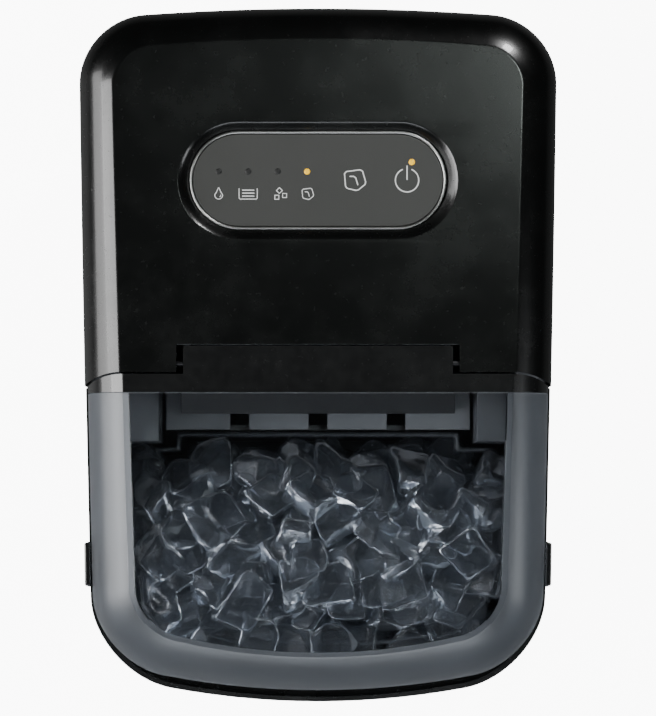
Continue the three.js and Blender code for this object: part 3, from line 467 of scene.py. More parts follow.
def plastic(name, colour, roughness, grain=0.08, wave=0.05, spread=0.08, worn=1.25, wear=0.4, coat=0.0,
            grain_size=900, metal=0.0):
    """Moulded plastic, paint, rubber or metal: two close tones over slow noise, lighter worn edges, marks
    that roughen the shine."""
    material, tree, shader = start_material(name)
    surface = add(tree, "ShaderNodeGroup", node_tree=SURFACE)
    for label, value in (("Grain size", grain_size), ("Grain depth", grain), ("Wave depth", wave)):
        surface.inputs[label].default_value = value
    edges = add(tree, "ShaderNodeGroup", node_tree=WEAR)
    edges.inputs["Amount"].default_value = wear
    place = add(tree, "ShaderNodeTexCoord").outputs["Object"]
    cloud = add(tree, "ShaderNodeTexNoise", {"Vector": place}, in_Scale=7, in_Detail=4)
    tone = add(tree, "ShaderNodeMix", {"Factor": cloud.outputs["Fac"]}, data_type="RGBA")
    tone.inputs["A"].default_value = (*[c * (1 - spread) for c in colour], 1)
    tone.inputs["B"].default_value = (*[c * (1 + spread) for c in colour], 1)
    edge_links = {"Factor": edges.outputs["Mask"], "A": tone.outputs["Result"]}
    edged = add(tree, "ShaderNodeMix", edge_links, data_type="RGBA")
    edged.inputs["B"].default_value = (*[min(c * worn + 0.004, 1) for c in colour], 1)
    tree.links.new(edged.outputs["Result"], shader.inputs["Base Color"])
    tree.links.new(ramp(tree, surface.outputs["Marks"], 0, 1, roughness, min(roughness + 0.14, 1)),
                   shader.inputs["Roughness"])
    tree.links.new(surface.outputs["Normal"], shader.inputs["Normal"])
    shader.inputs["Metallic"].default_value = metal
    shader.inputs["Coat Weight"].default_value = coat
    shader.inputs["Coat Roughness"].default_value = 0.06
    return material


def clear(name, colour, roughness, ior, marks=0.05, bump=0.02, bump_size=60, weight=1.0):
    """See-through plastic or ice: a glassy Principled shader with faint marks, and a Transparent one that
    lets the lamps' rays through."""
    material, tree, shader = start_material(name)
    surface = add(tree, "ShaderNodeGroup", node_tree=SURFACE)
    for label, value in (("Grain depth", bump), ("Wave depth", bump), ("Wave size", bump_size)):
        surface.inputs[label].default_value = value
    tone = add(tree, "ShaderNodeMix", {"Factor": surface.outputs["Marks"]}, data_type="RGBA")
    tone.inputs["A"].default_value = (*colour, 1)
    tone.inputs["B"].default_value = (*[min(c * 1.06, 1) for c in colour], 1)
    tree.links.new(tone.outputs["Result"], shader.inputs["Base Color"])
    rough = ramp(tree, surface.outputs["Marks"], 0, 1, roughness, roughness + marks)
    tree.links.new(rough, shader.inputs["Roughness"])
    tree.links.new(surface.outputs["Normal"], shader.inputs["Normal"])
    shader.inputs["Transmission Weight"].default_value = weight
    shader.inputs["IOR"].default_value = ior
    through = add(tree, "ShaderNodeBsdfTransparent")
    through.inputs["Color"].default_value = (*[math.sqrt(c) for c in colour], 1)
    path = add(tree, "ShaderNodeLightPath").outputs["Is Shadow Ray"]
    mix = add(tree, "ShaderNodeMixShader", {0: path, 1: shader.outputs["BSDF"], 2: through.outputs["BSDF"]})
    output = next(node for node in tree.nodes if node.type == "OUTPUT_MATERIAL")
    tree.links.new(mix.outputs["Shader"], output.inputs["Surface"])
    return material


def lamp(name, colour, strength):
    """A lit lens: two close tones over a soft grain, glowing in its colour."""
    material, tree, shader = start_material(name)
    place = add(tree, "ShaderNodeTexCoord").outputs["Object"]
    noise = add(tree, "ShaderNodeTexNoise", {"Vector": place}, in_Scale=900)
    tone = add(tree, "ShaderNodeMix", {"Factor": noise.outputs["Fac"]}, data_type="RGBA")
    tone.inputs["A"].default_value = (*[c * 0.9 for c in colour], 1)
    tone.inputs["B"].default_value = (*colour, 1)
    tree.links.new(tone.outputs["Result"], shader.inputs["Base Color"])
    tree.links.new(tone.outputs["Result"], shader.inputs["Emission Color"])
    shader.inputs["Emission Strength"].default_value = strength
    shader.inputs["Roughness"].default_value = 0.3
    return material


GLOSS_BLACK = plastic("gloss black case", (0.0016, 0.0017, 0.0018), 0.24, grain=0.03, wave=0.03,
                      coat=0.4, wear=0.5)
DECK_BLACK = plastic("deck black", (0.0010, 0.0012, 0.0011), 0.23, grain=0.02, wave=0.02, coat=0.2, wear=0.4)
HINGE_BLACK = plastic("hinge black", (0.0036, 0.0037, 0.0038), 0.22, grain=0.03, wave=0.03,
                      coat=0.5, wear=0.6)
# Near-black rough plastic that paints the shade under the cover; it is used on the sloping sheet above the
# ledge and on the ice shovel.
SHADE_BLACK = plastic("painted shade black", (0.002, 0.002, 0.002), 0.6, grain=0.2, wear=0)
SMOKE = clear("smoked lid", (0.60, 0.62, 0.65), 0.04, 1.45, marks=0.02, bump=0.01)
SMOKE_EDGE = clear("smoked lid shoulder", (0.34, 0.36, 0.39), 0.3, 1.45, bump=0.01, weight=0.955)
ICE = clear("clear ice", (0.45, 0.48, 0.52), 0.09, 1.31, marks=0.25, bump=0.5, bump_size=75, weight=0.955)
LINER_GREY = plastic("liner grey", (0.08, 0.082, 0.086), 0.42, grain=0.2, spread=0.06)
COMB_GREY = plastic("comb grey", (0.15, 0.15, 0.155), 0.4, grain=0.2, spread=0.06)
BASKET_GREY = plastic("basket grey", (0.045, 0.047, 0.052), 0.34, grain=0.12, wear=0.8)
PANEL_GREY = plastic("panel membrane", (0.032, 0.032, 0.030), 0.42, grain=0.35, grain_size=2600, wear=0.3)
TRIM = plastic("bright trim", (0.42, 0.42, 0.41), 0.3, grain=0.03, wave=0.0, wear=0.2, metal=1.0)
INK = plastic("symbol ink", (0.66, 0.66, 0.65), 0.5, grain=0.1, wear=0)
LAMP_OFF = plastic("unlit lens", (0.003, 0.003, 0.003), 0.55, wear=0)
LAMP_ON = lamp("lit lens", (1.0, 0.56, 0.0), 0.35)
RUBBER = plastic("rubber", (0.012, 0.012, 0.013), 0.8, grain=0.6, wave=0.1, wear=0.6)
STEEL = plastic("rolled steel", (0.46, 0.47, 0.48), 0.34, grain=0.25, wear=0.5, metal=1.0)
# Near-black steel for the two hinge pins, darker than the other steel parts.
DARK_STEEL = plastic("dark steel", (0.03, 0.03, 0.032), 0.4, grain=0.2, wear=0.3, metal=1.0)
COPPER = plastic("drawn copper", (0.58, 0.30, 0.17), 0.3, grain=0.15, wear=0.4, metal=1.0)
FOAM = plastic("insulation foam", (0.62, 0.56, 0.40), 0.9, grain=1.0, wave=0.6, grain_size=240, spread=0.15)
BOARD = plastic("circuit board", (0.02, 0.11, 0.05), 0.45, grain=0.4, spread=0.3)
NATURAL = plastic("natural plastic", (0.62, 0.62, 0.58), 0.45, grain=0.2)
TRAY_GREY = plastic("tray grey", (0.16, 0.165, 0.17), 0.4, grain=0.15)
POD_GREY = plastic("pod grey", (0.055, 0.056, 0.06), 0.4, grain=0.15, wear=0.7)
SLOT_MATERIAL = {"black": GLOSS_BLACK, "deck": DECK_BLACK, "rubber": RUBBER, "smoke": SMOKE, "chrome": TRIM,
                 "panel": PANEL_GREY, "grey": TRAY_GREY, "foam": FOAM, "ice": ICE, "steel": STEEL,
                 "copper": COPPER, "board": BOARD, "white": NATURAL}
# The ice shovel takes the painted-shade black so that it reads as the shade under the cover.
NODE_MATERIAL = {"sensor_pod_left": POD_GREY, "sensor_pod_right": POD_GREY, "ice_shovel": SHADE_BLACK,
                 "hinge_pin_left": DARK_STEEL, "hinge_pin_right": DARK_STEEL}


# ---- Case pieces ----------------------------------------------------------------------------
def shell(name, side, top, front, skirt):
    """A moulded wall: the form less the same form one wall further in, open below."""
    outer = form(name, side, 0, front, skirt)
    inner = form("inside", side + WALL, WALL, front, skirt + 6)
    return combine(outer, inner)


def notch_cheek(side):
    """Upright web beside the notch that holds a hinge pin: the deck's slope carried along X."""
    inner = side * NOTCH_WIDTH / 2
    outer = inner + side * WALL
    front = SEAM_Y + SEAM_GAP + 0.6
    rear = SEAM_Y + NOTCH_DEPTH + WALL
    corners = [(front, deck_height(front) - 0.6), (front, deck_height(front) - 9),
               (rear, deck_height(rear) - 9), (rear, deck_height(rear) - 0.6)]
    points = [(x, y, z) for x in (inner, outer) for y, z in corners]
    faces = [[0, 1, 2, 3], [7, 6, 5, 4]] + grid_faces(2, 4)
    cheek = make("cheek", points, faces)
    fix_normals(cheek)
    return cheek


def deck_cover():
    """Rear deck with its shoulders and the hinge notch; the panel's recess is moulded in, a cove that
    rolls over at the deck, slopes in at about 45 degrees and ends in a flat seat."""
    cover = shell("deck_cover", 0, 0, 0, COVER_SKIRT)
    combine(cover, before_seam("seam", SEAM_GAP))
    half = NOTCH_WIDTH / 2
    combine(cover, block("notch", (-half, -60, 200), (half, SEAM_Y + NOTCH_DEPTH, 400)))
    seat = on_panel(prism("seat", stadium(RECESS[0] + 3, RECESS[1] + 3), -9, 5))
    combine(seat, under_deck("top", 0.3), "INTERSECT")
    combine(cover, seat, "UNION")
    inset = np.array([-3.2, -2.0, -1.1, -0.3, 0.6, 1.6, 3.9, 4.3, 4.3])
    height = np.array([1.2, 0.2, -0.15, -0.55, -1.2, -2.1, -4.4, -5.0, -6.8])
    cove = stacked("cove", [stadium(RECESS[0] - 2 * i, RECESS[1] - 2 * i) for i in inset], height)
    combine(cover, on_panel(cove))
    cover = join("deck_cover", cover, notch_cheek(-1), notch_cheek(1))
    soften(cover, 0.45, 2, 40)
    finish_piece(cover, DECK_BLACK, "housing", "deck", "top_cover", "recess_bezel")


def case_body():
    """Case walls: the form less its inside, cut off under the cover and the lid, with a lip at the front."""
    wall = combine(form("case_body"), form("inside", WALL, -40))
    region = under_deck("region", COVER_SKIRT + GAP)
    front = combine(under_deck("front", LID_SKIRT + GAP), before_seam("ahead", -SEAM_GAP), "INTERSECT")
    combine(wall, combine(region, front, "UNION"), "INTERSECT")
    hole = form("hole", WALL, -4, LID_FRONT_INSET + 2, LID_SKIRT + 20)
    lip = combine(form("lip", 0.02, 0, 0, LID_SKIRT + 12), hole)
    combine(lip, under_deck("above", LID_SKIRT + GAP), "INTERSECT")
    combine(lip, under_deck("below", LID_SKIRT + 4))
    combine(lip, before_seam("ahead", -SEAM_GAP), "INTERSECT")
    for node in ("vent_grille_left", "vent_grille_right", "rear_panel"):
        low, high = (np.array(corner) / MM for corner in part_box(node))
        grow = np.array([4, GAP, GAP]) if node != "rear_panel" else np.array([GAP, 6, GAP])
        combine(wall, block("window", low - grow, high + grow))
    low, high = (np.array(corner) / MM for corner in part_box("drain_cap"))
    angle = np.linspace(0, 2 * math.pi, 49)[:-1]
    middle = (low + high) / 2
    ring = np.column_stack([middle[1] + 11.5 * np.cos(angle), middle[2] + 11.5 * np.sin(angle)])
    points = np.vstack([np.column_stack([np.full(48, x), ring]) for x in (95, 140)])
    hole = make("hole", points, grid_faces(2, 48) + [list(range(48))[::-1], list(range(48, 96))])
    fix_normals(hole)
    combine(wall, hole)
    body = join("case_body", wall, lip)
    soften(body, 0.5, 2, 40)
    finish_piece(body, GLOSS_BLACK, "housing", "black", "body_shell")


def lid_pieces():
    """Smoked window, and the black band and tongue behind it."""
    window = shell("lid_glass", LID_SIDE_INSET, 0, LID_FRONT_INSET, LID_SKIRT)
    combine(window, before_seam("ahead", -SEAM_GAP - LID_BAND, 0), "INTERSECT")
    soften(window, 0.5, 2, 40)
    finish_piece(window, SMOKE, "lid", "smoke", "lid_window")
    window.data.materials.append(SMOKE_EDGE)
    for face in window.data.polygons:
        middle = face.center / MM
        face.material_index = int(deck_height(middle.y) - middle.z > WALL + 0.6 or abs(face.normal.z) < 0.93)
    band = shell("hinge_band", LID_SIDE_INSET, 0, LID_FRONT_INSET, LID_SKIRT)
    combine(band, before_seam("ahead", -SEAM_GAP), "INTERSECT")
    combine(band, before_seam("window", -SEAM_GAP - LID_BAND + GAP, 0))
    half = TONGUE_WIDTH / 2
    front = SEAM_Y - SEAM_GAP - LID_BAND + GAP
    tongue = block("tongue", (-half, front, 200), (half, SEAM_Y + NOTCH_DEPTH - 1, 400))
    combine(tongue, under_deck("top", 0), "INTERSECT")
    combine(tongue, under_deck("bottom", TONGUE_THICK))
    combine(band, tongue, "UNION")
    soften(band, 0.6, 3, 40)
    finish_piece(band, HINGE_BLACK, "lid", "black", "lid_hinge_bar")


def finger_tabs():
    """The two lips that a finger lifts, rounded slabs standing out from the lid's lower edge."""
    front, rear = TAB_Y
    reach = WIDTH / 2 * (1 - PLAN_TAPER * (DEPTH / 2 - front) / DEPTH) + TAB_PROUD
    for side, name in ((-1, "finger_tab_left"), (1, "finger_tab_right")):
        outer, inner = side * reach, side * (reach - 3.2)
        plan = [(inner, front), (outer, front + 1), (outer, rear - 1), (inner, rear)]
        tab = prism(name, plan[::side], 100, 400)
        combine(tab, under_deck("top", LID_SKIRT - TAB_HEIGHT), "INTERSECT")
        combine(tab, under_deck("bottom", LID_SKIRT))
        soften(tab, 0.8, 3, 40)
        finish_piece(tab, HINGE_BLACK, "lid", "smoke")


# ---- Control panel --------------------------------------------------------------------------
def trim_ring():
    """Thin bright ring round the membrane, half round in section."""
    angle = np.linspace(0, math.pi, 9)
    inset = -0.75 + 0.75 * np.cos(angle)
    height = -FACE_DEPTH + 0.75 * np.sin(angle)
    inset = np.append(inset, [-1.5, 0])
    height = np.append(height, [-6.4, -6.4])
    ring = closed_rings("trim_ring", [stadium(PANEL[0] - 2 * i, PANEL[1] - 2 * i) for i in inset], height)
    soften(on_panel(ring), 0, 2, 60)
    finish_piece(ring, TRIM, "housing", "chrome", "panel_rim")


def membrane():
    """The grey membrane with a softened edge."""
    face = on_panel(prism("membrane", stadium(PANEL[0] - 0.5, PANEL[1] - 0.5), -6.2, -FACE_DEPTH))
    soften(face, 0.4, 2, 40)
    finish_piece(face, PANEL_GREY, "housing", "panel", "panel_face")


def stroke(points, width, closed=False):
    """A flat line of a given width along points in the panel's plane, as its left and right edges."""
    path = np.asarray(points, float)
    if closed:
        before, after = np.roll(path, 1, 0), np.roll(path, -1, 0)
    else:
        before = np.vstack([path[:1] * 2 - path[1:2], path[:-1]])
        after = np.vstack([path[1:], path[-1:] * 2 - path[-2:-1]])
    first = (path - before) / np.linalg.norm(path - before, axis=1, keepdims=True)
    second = (after - path) / np.linalg.norm(after - path, axis=1, keepdims=True)
    along = first + second
    along /= np.linalg.norm(along, axis=1, keepdims=True)
    normal = np.column_stack([-along[:, 1], along[:, 0]])
    bend = np.clip(np.sum(along * second, 1, keepdims=True), 0.5, 1)
    half = width / 2 / bend
    return path - normal * half, path + normal * half, closed


def circle(x, y, radius, start=0.0, sweep=360.0, steps=40):
    """Points of an arc in the panel's plane, angles in degrees."""
    angle = np.radians(start + np.linspace(0, sweep, steps + 1))
    points = np.column_stack([x + radius * np.cos(angle), y + radius * np.sin(angle)])
    return points[:-1] if sweep == 360 else points


def drop(x, y, size):
    """Outline of a water drop: a circle whose top is drawn up to a point."""
    angle = np.linspace(0, 2 * math.pi, 33)[:-1]
    rise = np.maximum(np.sin(angle), 0) ** 6
    return np.column_stack([x + size * np.cos(angle) * (1 - 0.35 * np.maximum(np.sin(angle), 0)),
                            y + size * (np.sin(angle) + 0.85 * rise)])


def cube_sign(x, y, size, width):
    """Ice-cube sign: a lopsided block seen askew, its corners cut, with a bent stroke for its near edge."""
    corners = np.array([(-0.90, 0.72), (0.62, 0.92), (0.97, -0.28), (0.22, -0.90), (-0.78, -0.66)])
    corners = corners * size + (x, y)
    share = np.array([0.12, 0.88])[:, None, None]
    ends = (corners * (1 - share) + np.roll(corners, -1, 0) * share).transpose(1, 0, 2).reshape(-1, 2)
    bend = np.array([(-0.45, 0.33), (-0.08, 0.33), (0.09, 0.18), (0.26, -0.42)]) * size + (x, y)
    return [stroke(ends, width, True), stroke(bend, width)]


SIGN_Y = -6.9
LAMP_Y = 4.4
LAMP_X = (-50.2, -35.3, -20.4, -5.5)
SELECT_X = 18.6
POWER_X = 45.0


def signs():
    """All the signs on the membrane: water, full basket, ice sizes, the select key and the power key."""
    x_water, x_full, x_small, x_large = LAMP_X
    fine = 0.42
    lines = [stroke(drop(x_water, SIGN_Y - 0.6, 2.0), fine, True),
             stroke(circle(x_water, SIGN_Y - 0.6, 1.05, -60, 70, 8), 0.35)]
    tray = [(-4.6, 2.8), (-4.6, -2.1), (-4.1, -2.6), (4.1, -2.6), (4.6, -2.1), (4.6, 2.8)]
    lines.append(stroke([(x_full + x, SIGN_Y + y) for x, y in tray], fine))
    for level in (-1.1, 0.4, 1.9):
        lines.append(stroke([(x_full - 3.1, SIGN_Y + level), (x_full + 3.1, SIGN_Y + level)], 0.55))
    for dx, dy, turn, size in ((0.9, 1.7, 45, 1.5), (-0.4, -1.7, 0, 1.45), (3.5, -0.8, 0, 1.45)):
        corners = np.radians(np.arange(4) * 90 + 45 + turn)
        middle = np.array([x_small + dx, SIGN_Y + dy])
        square = middle + size * np.column_stack([np.cos(corners), np.sin(corners)])
        lines.append(stroke(square, fine, True))
    lines += cube_sign(x_large + 0.3, SIGN_Y, 3.2, fine)
    lines += cube_sign(SELECT_X, 0.0, 5.9, 0.62)
    lines += [stroke(circle(POWER_X, 0, 5.9, 112, 316), 0.62), stroke([(POWER_X, 0.2), (POWER_X, 7.4)], 0.62)]
    points, faces = [], []
    for left, right, closed in lines:
        base = sum(len(p) for p in points)
        count = len(left)
        points.append(np.vstack([left, right]))
        steps = np.arange(count if closed else count - 1)
        ahead = (steps + 1) % count
        faces += (np.stack([steps, ahead, ahead + count, steps + count], 1) + base).tolist()
    flat = np.vstack(points)
    obj = make("panel_signs", np.column_stack([flat, np.full(len(flat), -FACE_DEPTH + 0.02)]), faces)
    thick = obj.modifiers.new("ink", "SOLIDIFY")
    thick.thickness = 0.06 * MM
    thick.offset = 1
    on_panel(obj)
    finish_piece(obj, INK, "housing", "panel")


def lens(name, x, y, radius, material):
    """A small domed lens: part of a sphere on a short collar."""
    angle = np.linspace(0, 2 * math.pi, 29)[:-1]
    unit = np.column_stack([np.cos(angle), np.sin(angle)])
    share = np.array([1, 1, 0.9, 0.7, 0.4, 0.1])
    height = np.array([-0.4, 0.08, 0.24, 0.36, 0.44, 0.46])
    layers = [np.column_stack([(x, y) + unit * radius * s, np.full(28, h - FACE_DEPTH)])
              for s, h in zip(share, height)]
    faces = grid_faces(6, 28) + [list(range(28))[::-1], list(range(140, 168))]
    dome = on_panel(make(name, np.vstack(layers), faces))
    soften(dome, 0, 2, 60)
    return finish_piece(dome, material, "housing", "white")


def panel_lamps():
    """Four status lamps, the last one lit, and the lit lamp over the power sign."""
    for i, x in enumerate(LAMP_X):
        lens(f"status_lamp_{i + 1}", x, LAMP_Y, 1.55, LAMP_ON if i == 3 else LAMP_OFF)
    lens("power_lamp", POWER_X + 2.4, 9.2, 1.6, LAMP_ON)


# ---- Ice compartment ------------------------------------------------------------------------
def liner():
    """Liner tub: outer wall, flange under the lid and cavity, all with the case's rounded plan."""
    outer = prism("liner", outline(TUB_INSET - WALL), TUB_FLOOR - WALL, 400)
    combine(outer, block("front", (-140, -220, 0), (140, TUB_REAR + WALL, 500)), "INTERSECT")
    combine(outer, under_deck("rim", LID_SKIRT + 5), "INTERSECT")
    flange = prism("flange", outline(WALL + 0.4, LID_FRONT_INSET + 2.4), 150, 400)
    combine(flange, block("front", (-140, -220, 0), (140, TUB_REAR + 8, 500)), "INTERSECT")
    combine(flange, under_deck("top", LID_SKIRT + 1.5), "INTERSECT")
    combine(flange, under_deck("bottom", LID_SKIRT + 6))
    combine(outer, flange, "UNION")
    cavity = prism("cavity", outline(TUB_INSET), TUB_FLOOR, 500)
    combine(cavity, block("front", (-140, -220, 0), (140, TUB_REAR, 600)), "INTERSECT")
    combine(outer, cavity)
    soften(outer, 1.2, 3, 40)
    finish_piece(outer, LINER_GREY, "housing", "grey", "liner_tub")


def basket_outline(inset):
    """Basket plan: the case's plan further in, stepped narrower at the rear where the sensor pods stand."""
    plan = half_outline(BASKET_INSET + inset, BASKET_FRONT_INSET)
    front = plan[plan[:, 1] < BASKET_STEP_Y - inset - 3]
    edge = front[-1, 0]
    low, high = (np.array(corner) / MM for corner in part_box("ice_basket"))
    rear = high[1] - inset
    half = BASKET_STEP_HALF - inset
    turn = np.linspace(0, math.pi / 2, 7)
    outer = np.column_stack([edge - 3 + 3 * np.cos(turn), BASKET_STEP_Y - inset - 3 + 3 * np.sin(turn)])
    inner = np.column_stack([half + 2 - 2 * np.sin(turn), BASKET_STEP_Y - inset + 2 - 2 * np.cos(turn)])
    back = np.column_stack([half - 2 + 2 * np.cos(turn), rear - 2 + 2 * np.sin(turn)])
    right = np.vstack([front, outer, inner, back, [(0, rear)]])
    return np.vstack([right, (right[1:-1] * (-1, 1))[::-1]])


def basket():
    """Basket wall: one section with a rolled rim carried round the plan, closed by its floor."""
    low, high = (np.array(corner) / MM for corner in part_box("ice_basket"))
    rim, floor = high[2], low[2]
    section = [(3.0, floor), (1.2, floor + 0.6), (0.3, floor + 3), (0.3, rim - 5), (0.0, rim - 3),
               (0.0, rim - 0.8), (0.7, rim), (1.4, rim), (2.1, rim - 0.8), (2.3, rim - 3),
               (2.3, floor + 4), (5, floor + 2.2)]
    layers = [np.column_stack([plan, np.full(len(plan), z)])
              for plan, z in ((basket_outline(inset), z) for inset, z in section)]
    count = len(layers[0])
    faces = grid_faces(len(layers), count)
    faces += [list(range(count))[::-1], list(range((len(layers) - 1) * count, len(layers) * count))]
    obj = make("basket", np.vstack(layers), faces)
    soften(obj, 0, 2, 50)
    finish_piece(obj, BASKET_GREY, "basket", "grey", "ice_basket")


def ice_guide():
    """Ledge ending in a comb with three slots, its apron and ties, under a near-black sloping sheet on two
    side rails: painted shade for the dark space under the cover.
    """
    low, high = (np.array(corner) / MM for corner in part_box("ice_guide_comb"))
    front = low[1]
    guide = block("ice_guide", (-COMB_HALF, front, LEDGE_TOP - 4), (COMB_HALF, LEDGE_REAR, LEDGE_TOP))
    apron = block("apron", (-COMB_HALF, front, low[2]), (COMB_HALF, front + 3, LEDGE_TOP - 3))
    combine(guide, apron, "UNION")
    combine(guide, block("ties", (low[0], -10.3, LEDGE_TOP - 4), (high[0], LEDGE_REAR, LEDGE_TOP)), "UNION")
    for i in (-1, 0, 1):
        x = COMB_PITCH * i
        half = COMB_SLOT / 2
        slot = block("slot", (x - half, front - 1, LEDGE_TOP - 17), (x + half, front + 9, LEDGE_TOP + 1))
        combine(guide, slot)
    soften(guide, 1.0, 3, 40)
    finish_piece(guide, COMB_GREY, "housing", "grey", "ice_guide_comb")
    # Near-black sheet sloping up from the ledge towards the cover: painted shade that stands in for the shade
    # under the cover, not a part of the machine.
    profile = np.array([(-27, 262), (-25, 260), (-8, 271), (-8, 274)])
    points = np.vstack([np.column_stack([np.full(4, x), profile]) for x in (-HOOD_HALF, HOOD_HALF)])
    hood = make("painted_shade_hood", points, grid_faces(2, 4) + [[0, 1, 2, 3], [7, 6, 5, 4]])
    fix_normals(hood)
    rails = [block("rail", (x, -25, LEDGE_TOP), (x + 3, -8, 262)) for x in (-HOOD_HALF, HOOD_HALF - 3)]
    hood = join("painted_shade_hood", hood, *rails)
    soften(hood, 0.5, 2, 40)
    finish_piece(hood, SHADE_BLACK, "housing", "grey")


def sphere_grid(steps):
    """Points and quads of a cube's six faces blown up to a ball, each face a grid of two parameters."""
    share = np.tan(np.linspace(-math.pi / 4, math.pi / 4, steps + 1))
    u, v = np.meshgrid(share, share, indexing="ij")
    one = np.ones_like(u)
    sides = [(one, u, v), (-one, v, u), (v, one, u), (u, -one, v), (u, v, one), (v, u, -one)]
    points = np.concatenate([np.stack(side, -1).reshape(-1, 3) for side in sides])
    size = (steps + 1) ** 2
    one_side = np.array(grid_faces(steps + 1, steps + 1, wrap=False))
    faces = np.concatenate([one_side + size * i for i in range(6)])
    points /= np.linalg.norm(points, axis=1, keepdims=True)
    key = np.round(points, 5)
    unique, inverse = np.unique(key, axis=0, return_inverse=True)
    return unique / np.linalg.norm(unique, axis=1, keepdims=True), inverse.reshape(-1)[faces]


def ice_chunk(directions, rng):
    """One lump of ice: the ball cut by random planes, edges rounded by a soft minimum, with melted dents."""
    planes = rng.normal(size=(11, 3))
    planes[:6] = np.vstack([np.eye(3), -np.eye(3)]) + rng.normal(scale=0.16, size=(6, 3))
    planes /= np.linalg.norm(planes, axis=1, keepdims=True)
    distance = np.concatenate([rng.uniform(0.72, 0.95, 6), rng.uniform(0.9, 1.15, 5)])
    lean = np.maximum(directions @ planes.T, 0) / distance
    radius = np.sum(lean ** 14, axis=1) ** (-1 / 14)
    wave = rng.normal(scale=2.2, size=(5, 3))
    phase = rng.uniform(0, 6.28, 5)
    dents = np.sin(directions @ wave.T + phase).mean(1)
    fine = np.sin(directions @ (wave * 3.7).T + phase).mean(1)
    turn, _ = np.linalg.qr(rng.normal(size=(3, 3)))
    if np.linalg.det(turn) < 0:
        turn[:, 0] *= -1
    return (directions * (radius * (1 + 0.10 * dents + 0.03 * fine))[:, None]) @ turn.T


LUMP_SIZE = (11.0, 14.2)
LUMP_PITCH = (20.5, 14.5)
LAYER_DROP = 19
LID_CREASE = (96, -148)


def ice_heap():
    """Three layers of lumps on a jittered triangular lattice, domed towards the middle. The top one spills
    over the rim, and each lump is lowered till it would clear the lid with the basket lifted."""
    directions, quads = sphere_grid(10)
    rng = np.random.default_rng(11)
    low, high = (np.array(corner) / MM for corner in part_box("ice_basket"))
    middle = (low[1] + high[1]) / 2
    for layer, name in enumerate(("ice_top", "ice_middle", "ice_bottom")):
        spill = 5 if layer == 0 else -12
        points, faces = [], []
        for row in range(8):
            for column in range(10):
                size = rng.uniform(*LUMP_SIZE)
                x = -94 + column * LUMP_PITCH[0] + (10 if row % 2 else 0) + rng.uniform(-4, 4)
                y = low[1] + 6 + row * LUMP_PITCH[1] + 5 * layer + rng.uniform(-3.5, 3.5)
                lift = rng.uniform(-4, 4)
                chunk = ice_chunk(directions, rng) * size
                reach = (high[0] if y < BASKET_STEP_Y else BASKET_STEP_HALF) + spill - 0.6 * size
                front = low[1] - spill + 0.55 * size + 22 * max(abs(x) / high[0] - 0.45, 0) ** 2
                if abs(x) > reach + 6 or y > high[1] - 1.1 * size:
                    continue
                x = float(np.clip(x, -reach, reach))
                y = max(y, front)
                dome = 7 * (1 - ((y - middle) / 62) ** 2) * (1 - (x / 120) ** 2)
                lump = chunk + (x, y, high[2] + 1 + dome + lift - LAYER_DROP * layer)
                bow = FRONT_BOW * (lump[:, 0] / 110) ** 2
                aside = np.maximum(np.abs(lump[:, 0]) - LID_CREASE[0], 0)
                overhang = aside + np.maximum(bow + LID_CREASE[1] - lump[:, 1], 0)
                ceiling = deck_height(lump[:, 1]) - WALL - LIFT_ROOM - 0.9 * overhang
                lump[:, 2] -= max((lump[:, 2] - ceiling).max(), 0)
                faces.append(quads + len(directions) * len(points))
                points.append(lump)
        heap = make(name, np.vstack(points), np.vstack(faces).tolist())
        soften(heap, 0, 2, 80)
        finish_piece(heap, ICE, "basket", "ice", *(["ice_pile"] if layer == 0 else []))


# ---- Stage ----------------------------------------------------------------------------------
def floor_sheet():
    """A pale floor with a faint mottle, lit up for the camera so that it reads as a bright sweep."""
    corners = [(-4000, -4000, -0.4), (4000, -4000, -0.4), (4000, 4000, -0.4), (-4000, 4000, -0.4)]
    sheet = make("floor", corners, [[0, 1, 2, 3]])
    material, tree, shader = start_material("pale floor")
    place = add(tree, "ShaderNodeTexCoord").outputs["Object"]
    cloud = add(tree, "ShaderNodeTexNoise", {"Vector": place}, in_Scale=2)
    tree.links.new(ramp(tree, cloud.outputs["Fac"], 0, 1, 0.50, 0.56), shader.inputs["Roughness"])
    seen = add(tree, "ShaderNodeLightPath").outputs["Is Camera Ray"]
    tree.links.new(ramp(tree, seen, 0, 1, 0.0, 9.0), shader.inputs["Emission Strength"])
    tone = add(tree, "ShaderNodeMix", {"Factor": seen}, data_type="RGBA")
    tone.inputs["A"].default_value = (0.08, 0.08, 0.08, 1)
    tone.inputs["B"].default_value = (0.8, 0.8, 0.8, 1)
    tree.links.new(tone.outputs["Result"], shader.inputs["Base Color"])
    shader.inputs["Emission Color"].default_value = (1, 1, 1, 1)
    sheet.data.materials.append(material)


def softbox(name, place, aim, size, watts, colour=(1, 1, 1)):
    """A rectangular studio light at a place, turned to face a point, in metres."""
    light = bpy.data.lights.new(name, "AREA")
    light.shape = "RECTANGLE"
    light.size, light.size_y = size
    light.energy = watts
    light.color = colour
    obj = bpy.data.objects.new(name, light)
    obj.location = place
    obj.rotation_euler = (Vector(aim) - Vector(place)).to_track_quat("-Z", "Y").to_euler()
    bpy.context.scene.collection.objects.link(obj)


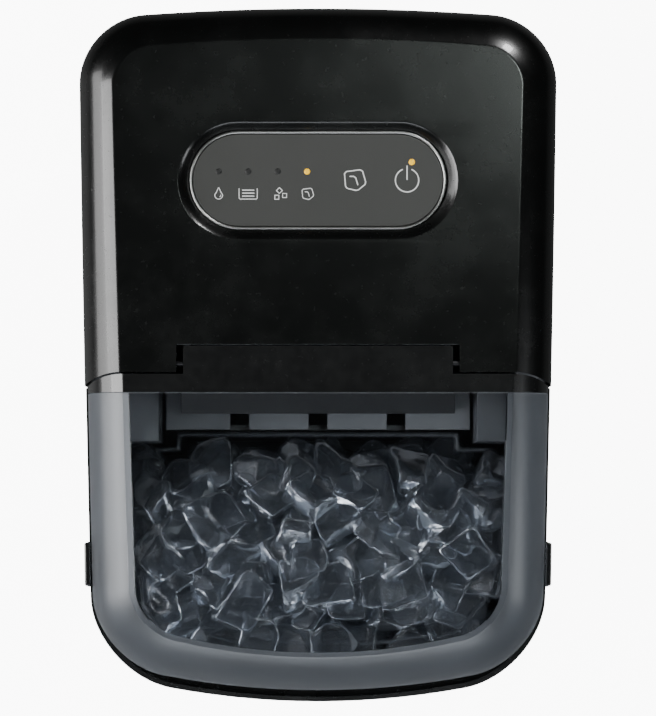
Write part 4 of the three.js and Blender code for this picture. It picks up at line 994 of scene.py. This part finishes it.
def studio():
    """Left box and wall for the left shoulder, high box for the deck's sheen, small rim box for the far
    corner's crease, front and right boxes for the lid. The backdrop is bright for the camera only."""
    softbox("left box", (-1.35, -0.45, 1.30), (0, -0.05, 0.28), (1.3, 0.6), 30)
    softbox("left wall", (-1.6, -0.3, 0.75), (0, -0.05, 0.28), (1.6, 0.7), 22)
    softbox("deck box", (0.52, 0.0, 2.3), (0, 0.05, 0.3), (0.35, 0.35), 7, (0.90, 1.0, 0.95))
    softbox("rim box", (0.75, 0.95, 1.35), (0.08, 0.14, 0.3), (0.22, 0.22), 14)
    softbox("front box", (0.0, -1.6, 1.1), (0, -0.1, 0.25), (1.4, 0.6), 16, (0.90, 0.95, 1.0))
    softbox("right box", (1.5, -0.9, 1.1), (0, -0.12, 0.26), (0.5, 0.5), 5, (0.95, 0.98, 1.0))
    world = bpy.data.worlds.new("studio")
    world.use_nodes = True
    background = world.node_tree.nodes["Background"]
    background.inputs["Color"].default_value = (0.95, 0.97, 1.0, 1)
    seen = add(world.node_tree, "ShaderNodeLightPath").outputs["Is Camera Ray"]
    world.node_tree.links.new(ramp(world.node_tree, seen, 0, 1, 0.03, 8.0), background.inputs["Strength"])
    bpy.context.scene.world = world


CAMERA_ELEVATION = 87
CAMERA_DISTANCE = 1.69
CAMERA_LENS = 166.4
CAMERA_AIM = (0.0, 0.0005, 0.29)
CAMERA_SHIFT = 0.0139665


def camera():
    """Camera almost straight above, a little towards the front, the object just left of the middle."""
    data = bpy.data.cameras.new("camera")
    data.lens = CAMERA_LENS
    data.sensor_width = 36
    data.shift_x = CAMERA_SHIFT
    obj = bpy.data.objects.new("camera", data)
    angle = math.radians(CAMERA_ELEVATION)
    away = Vector((0, -math.cos(angle), math.sin(angle)))
    obj.location = Vector(CAMERA_AIM) + away * CAMERA_DISTANCE
    obj.rotation_euler = (-away).to_track_quat("-Z", "Y").to_euler()
    bpy.context.scene.collection.objects.link(obj)
    bpy.context.scene.camera = obj


# ---- Build ----------------------------------------------------------------------------------
camera()
studio()
floor_sheet()
deck_cover()
case_body()
lid_pieces()
finger_tabs()
trim_ring()
membrane()
signs()
panel_lamps()
liner()
ice_guide()
basket()
ice_heap()

REPLACED = {"top_cover", "body_shell", "lid_window", "lid_hinge_bar", "recess_bezel",
            "panel_rim", "panel_face", "liner_tub", "ice_guide_comb", "ice_basket", "ice_pile"}
bodies = {node: body for body, nodes in frame["record"]["behaviour"]["bodies"].items() for node in nodes}
slots = {entry["node"]: entry["material_slot"] for entry in frame["record"]["subparts"]}
for node in sorted(frame["nodes"]):
    if node not in REPLACED:
        material = NODE_MATERIAL.get(node, SLOT_MATERIAL[slots[node]])
        refined(node, material, bodies[node], slots[node])
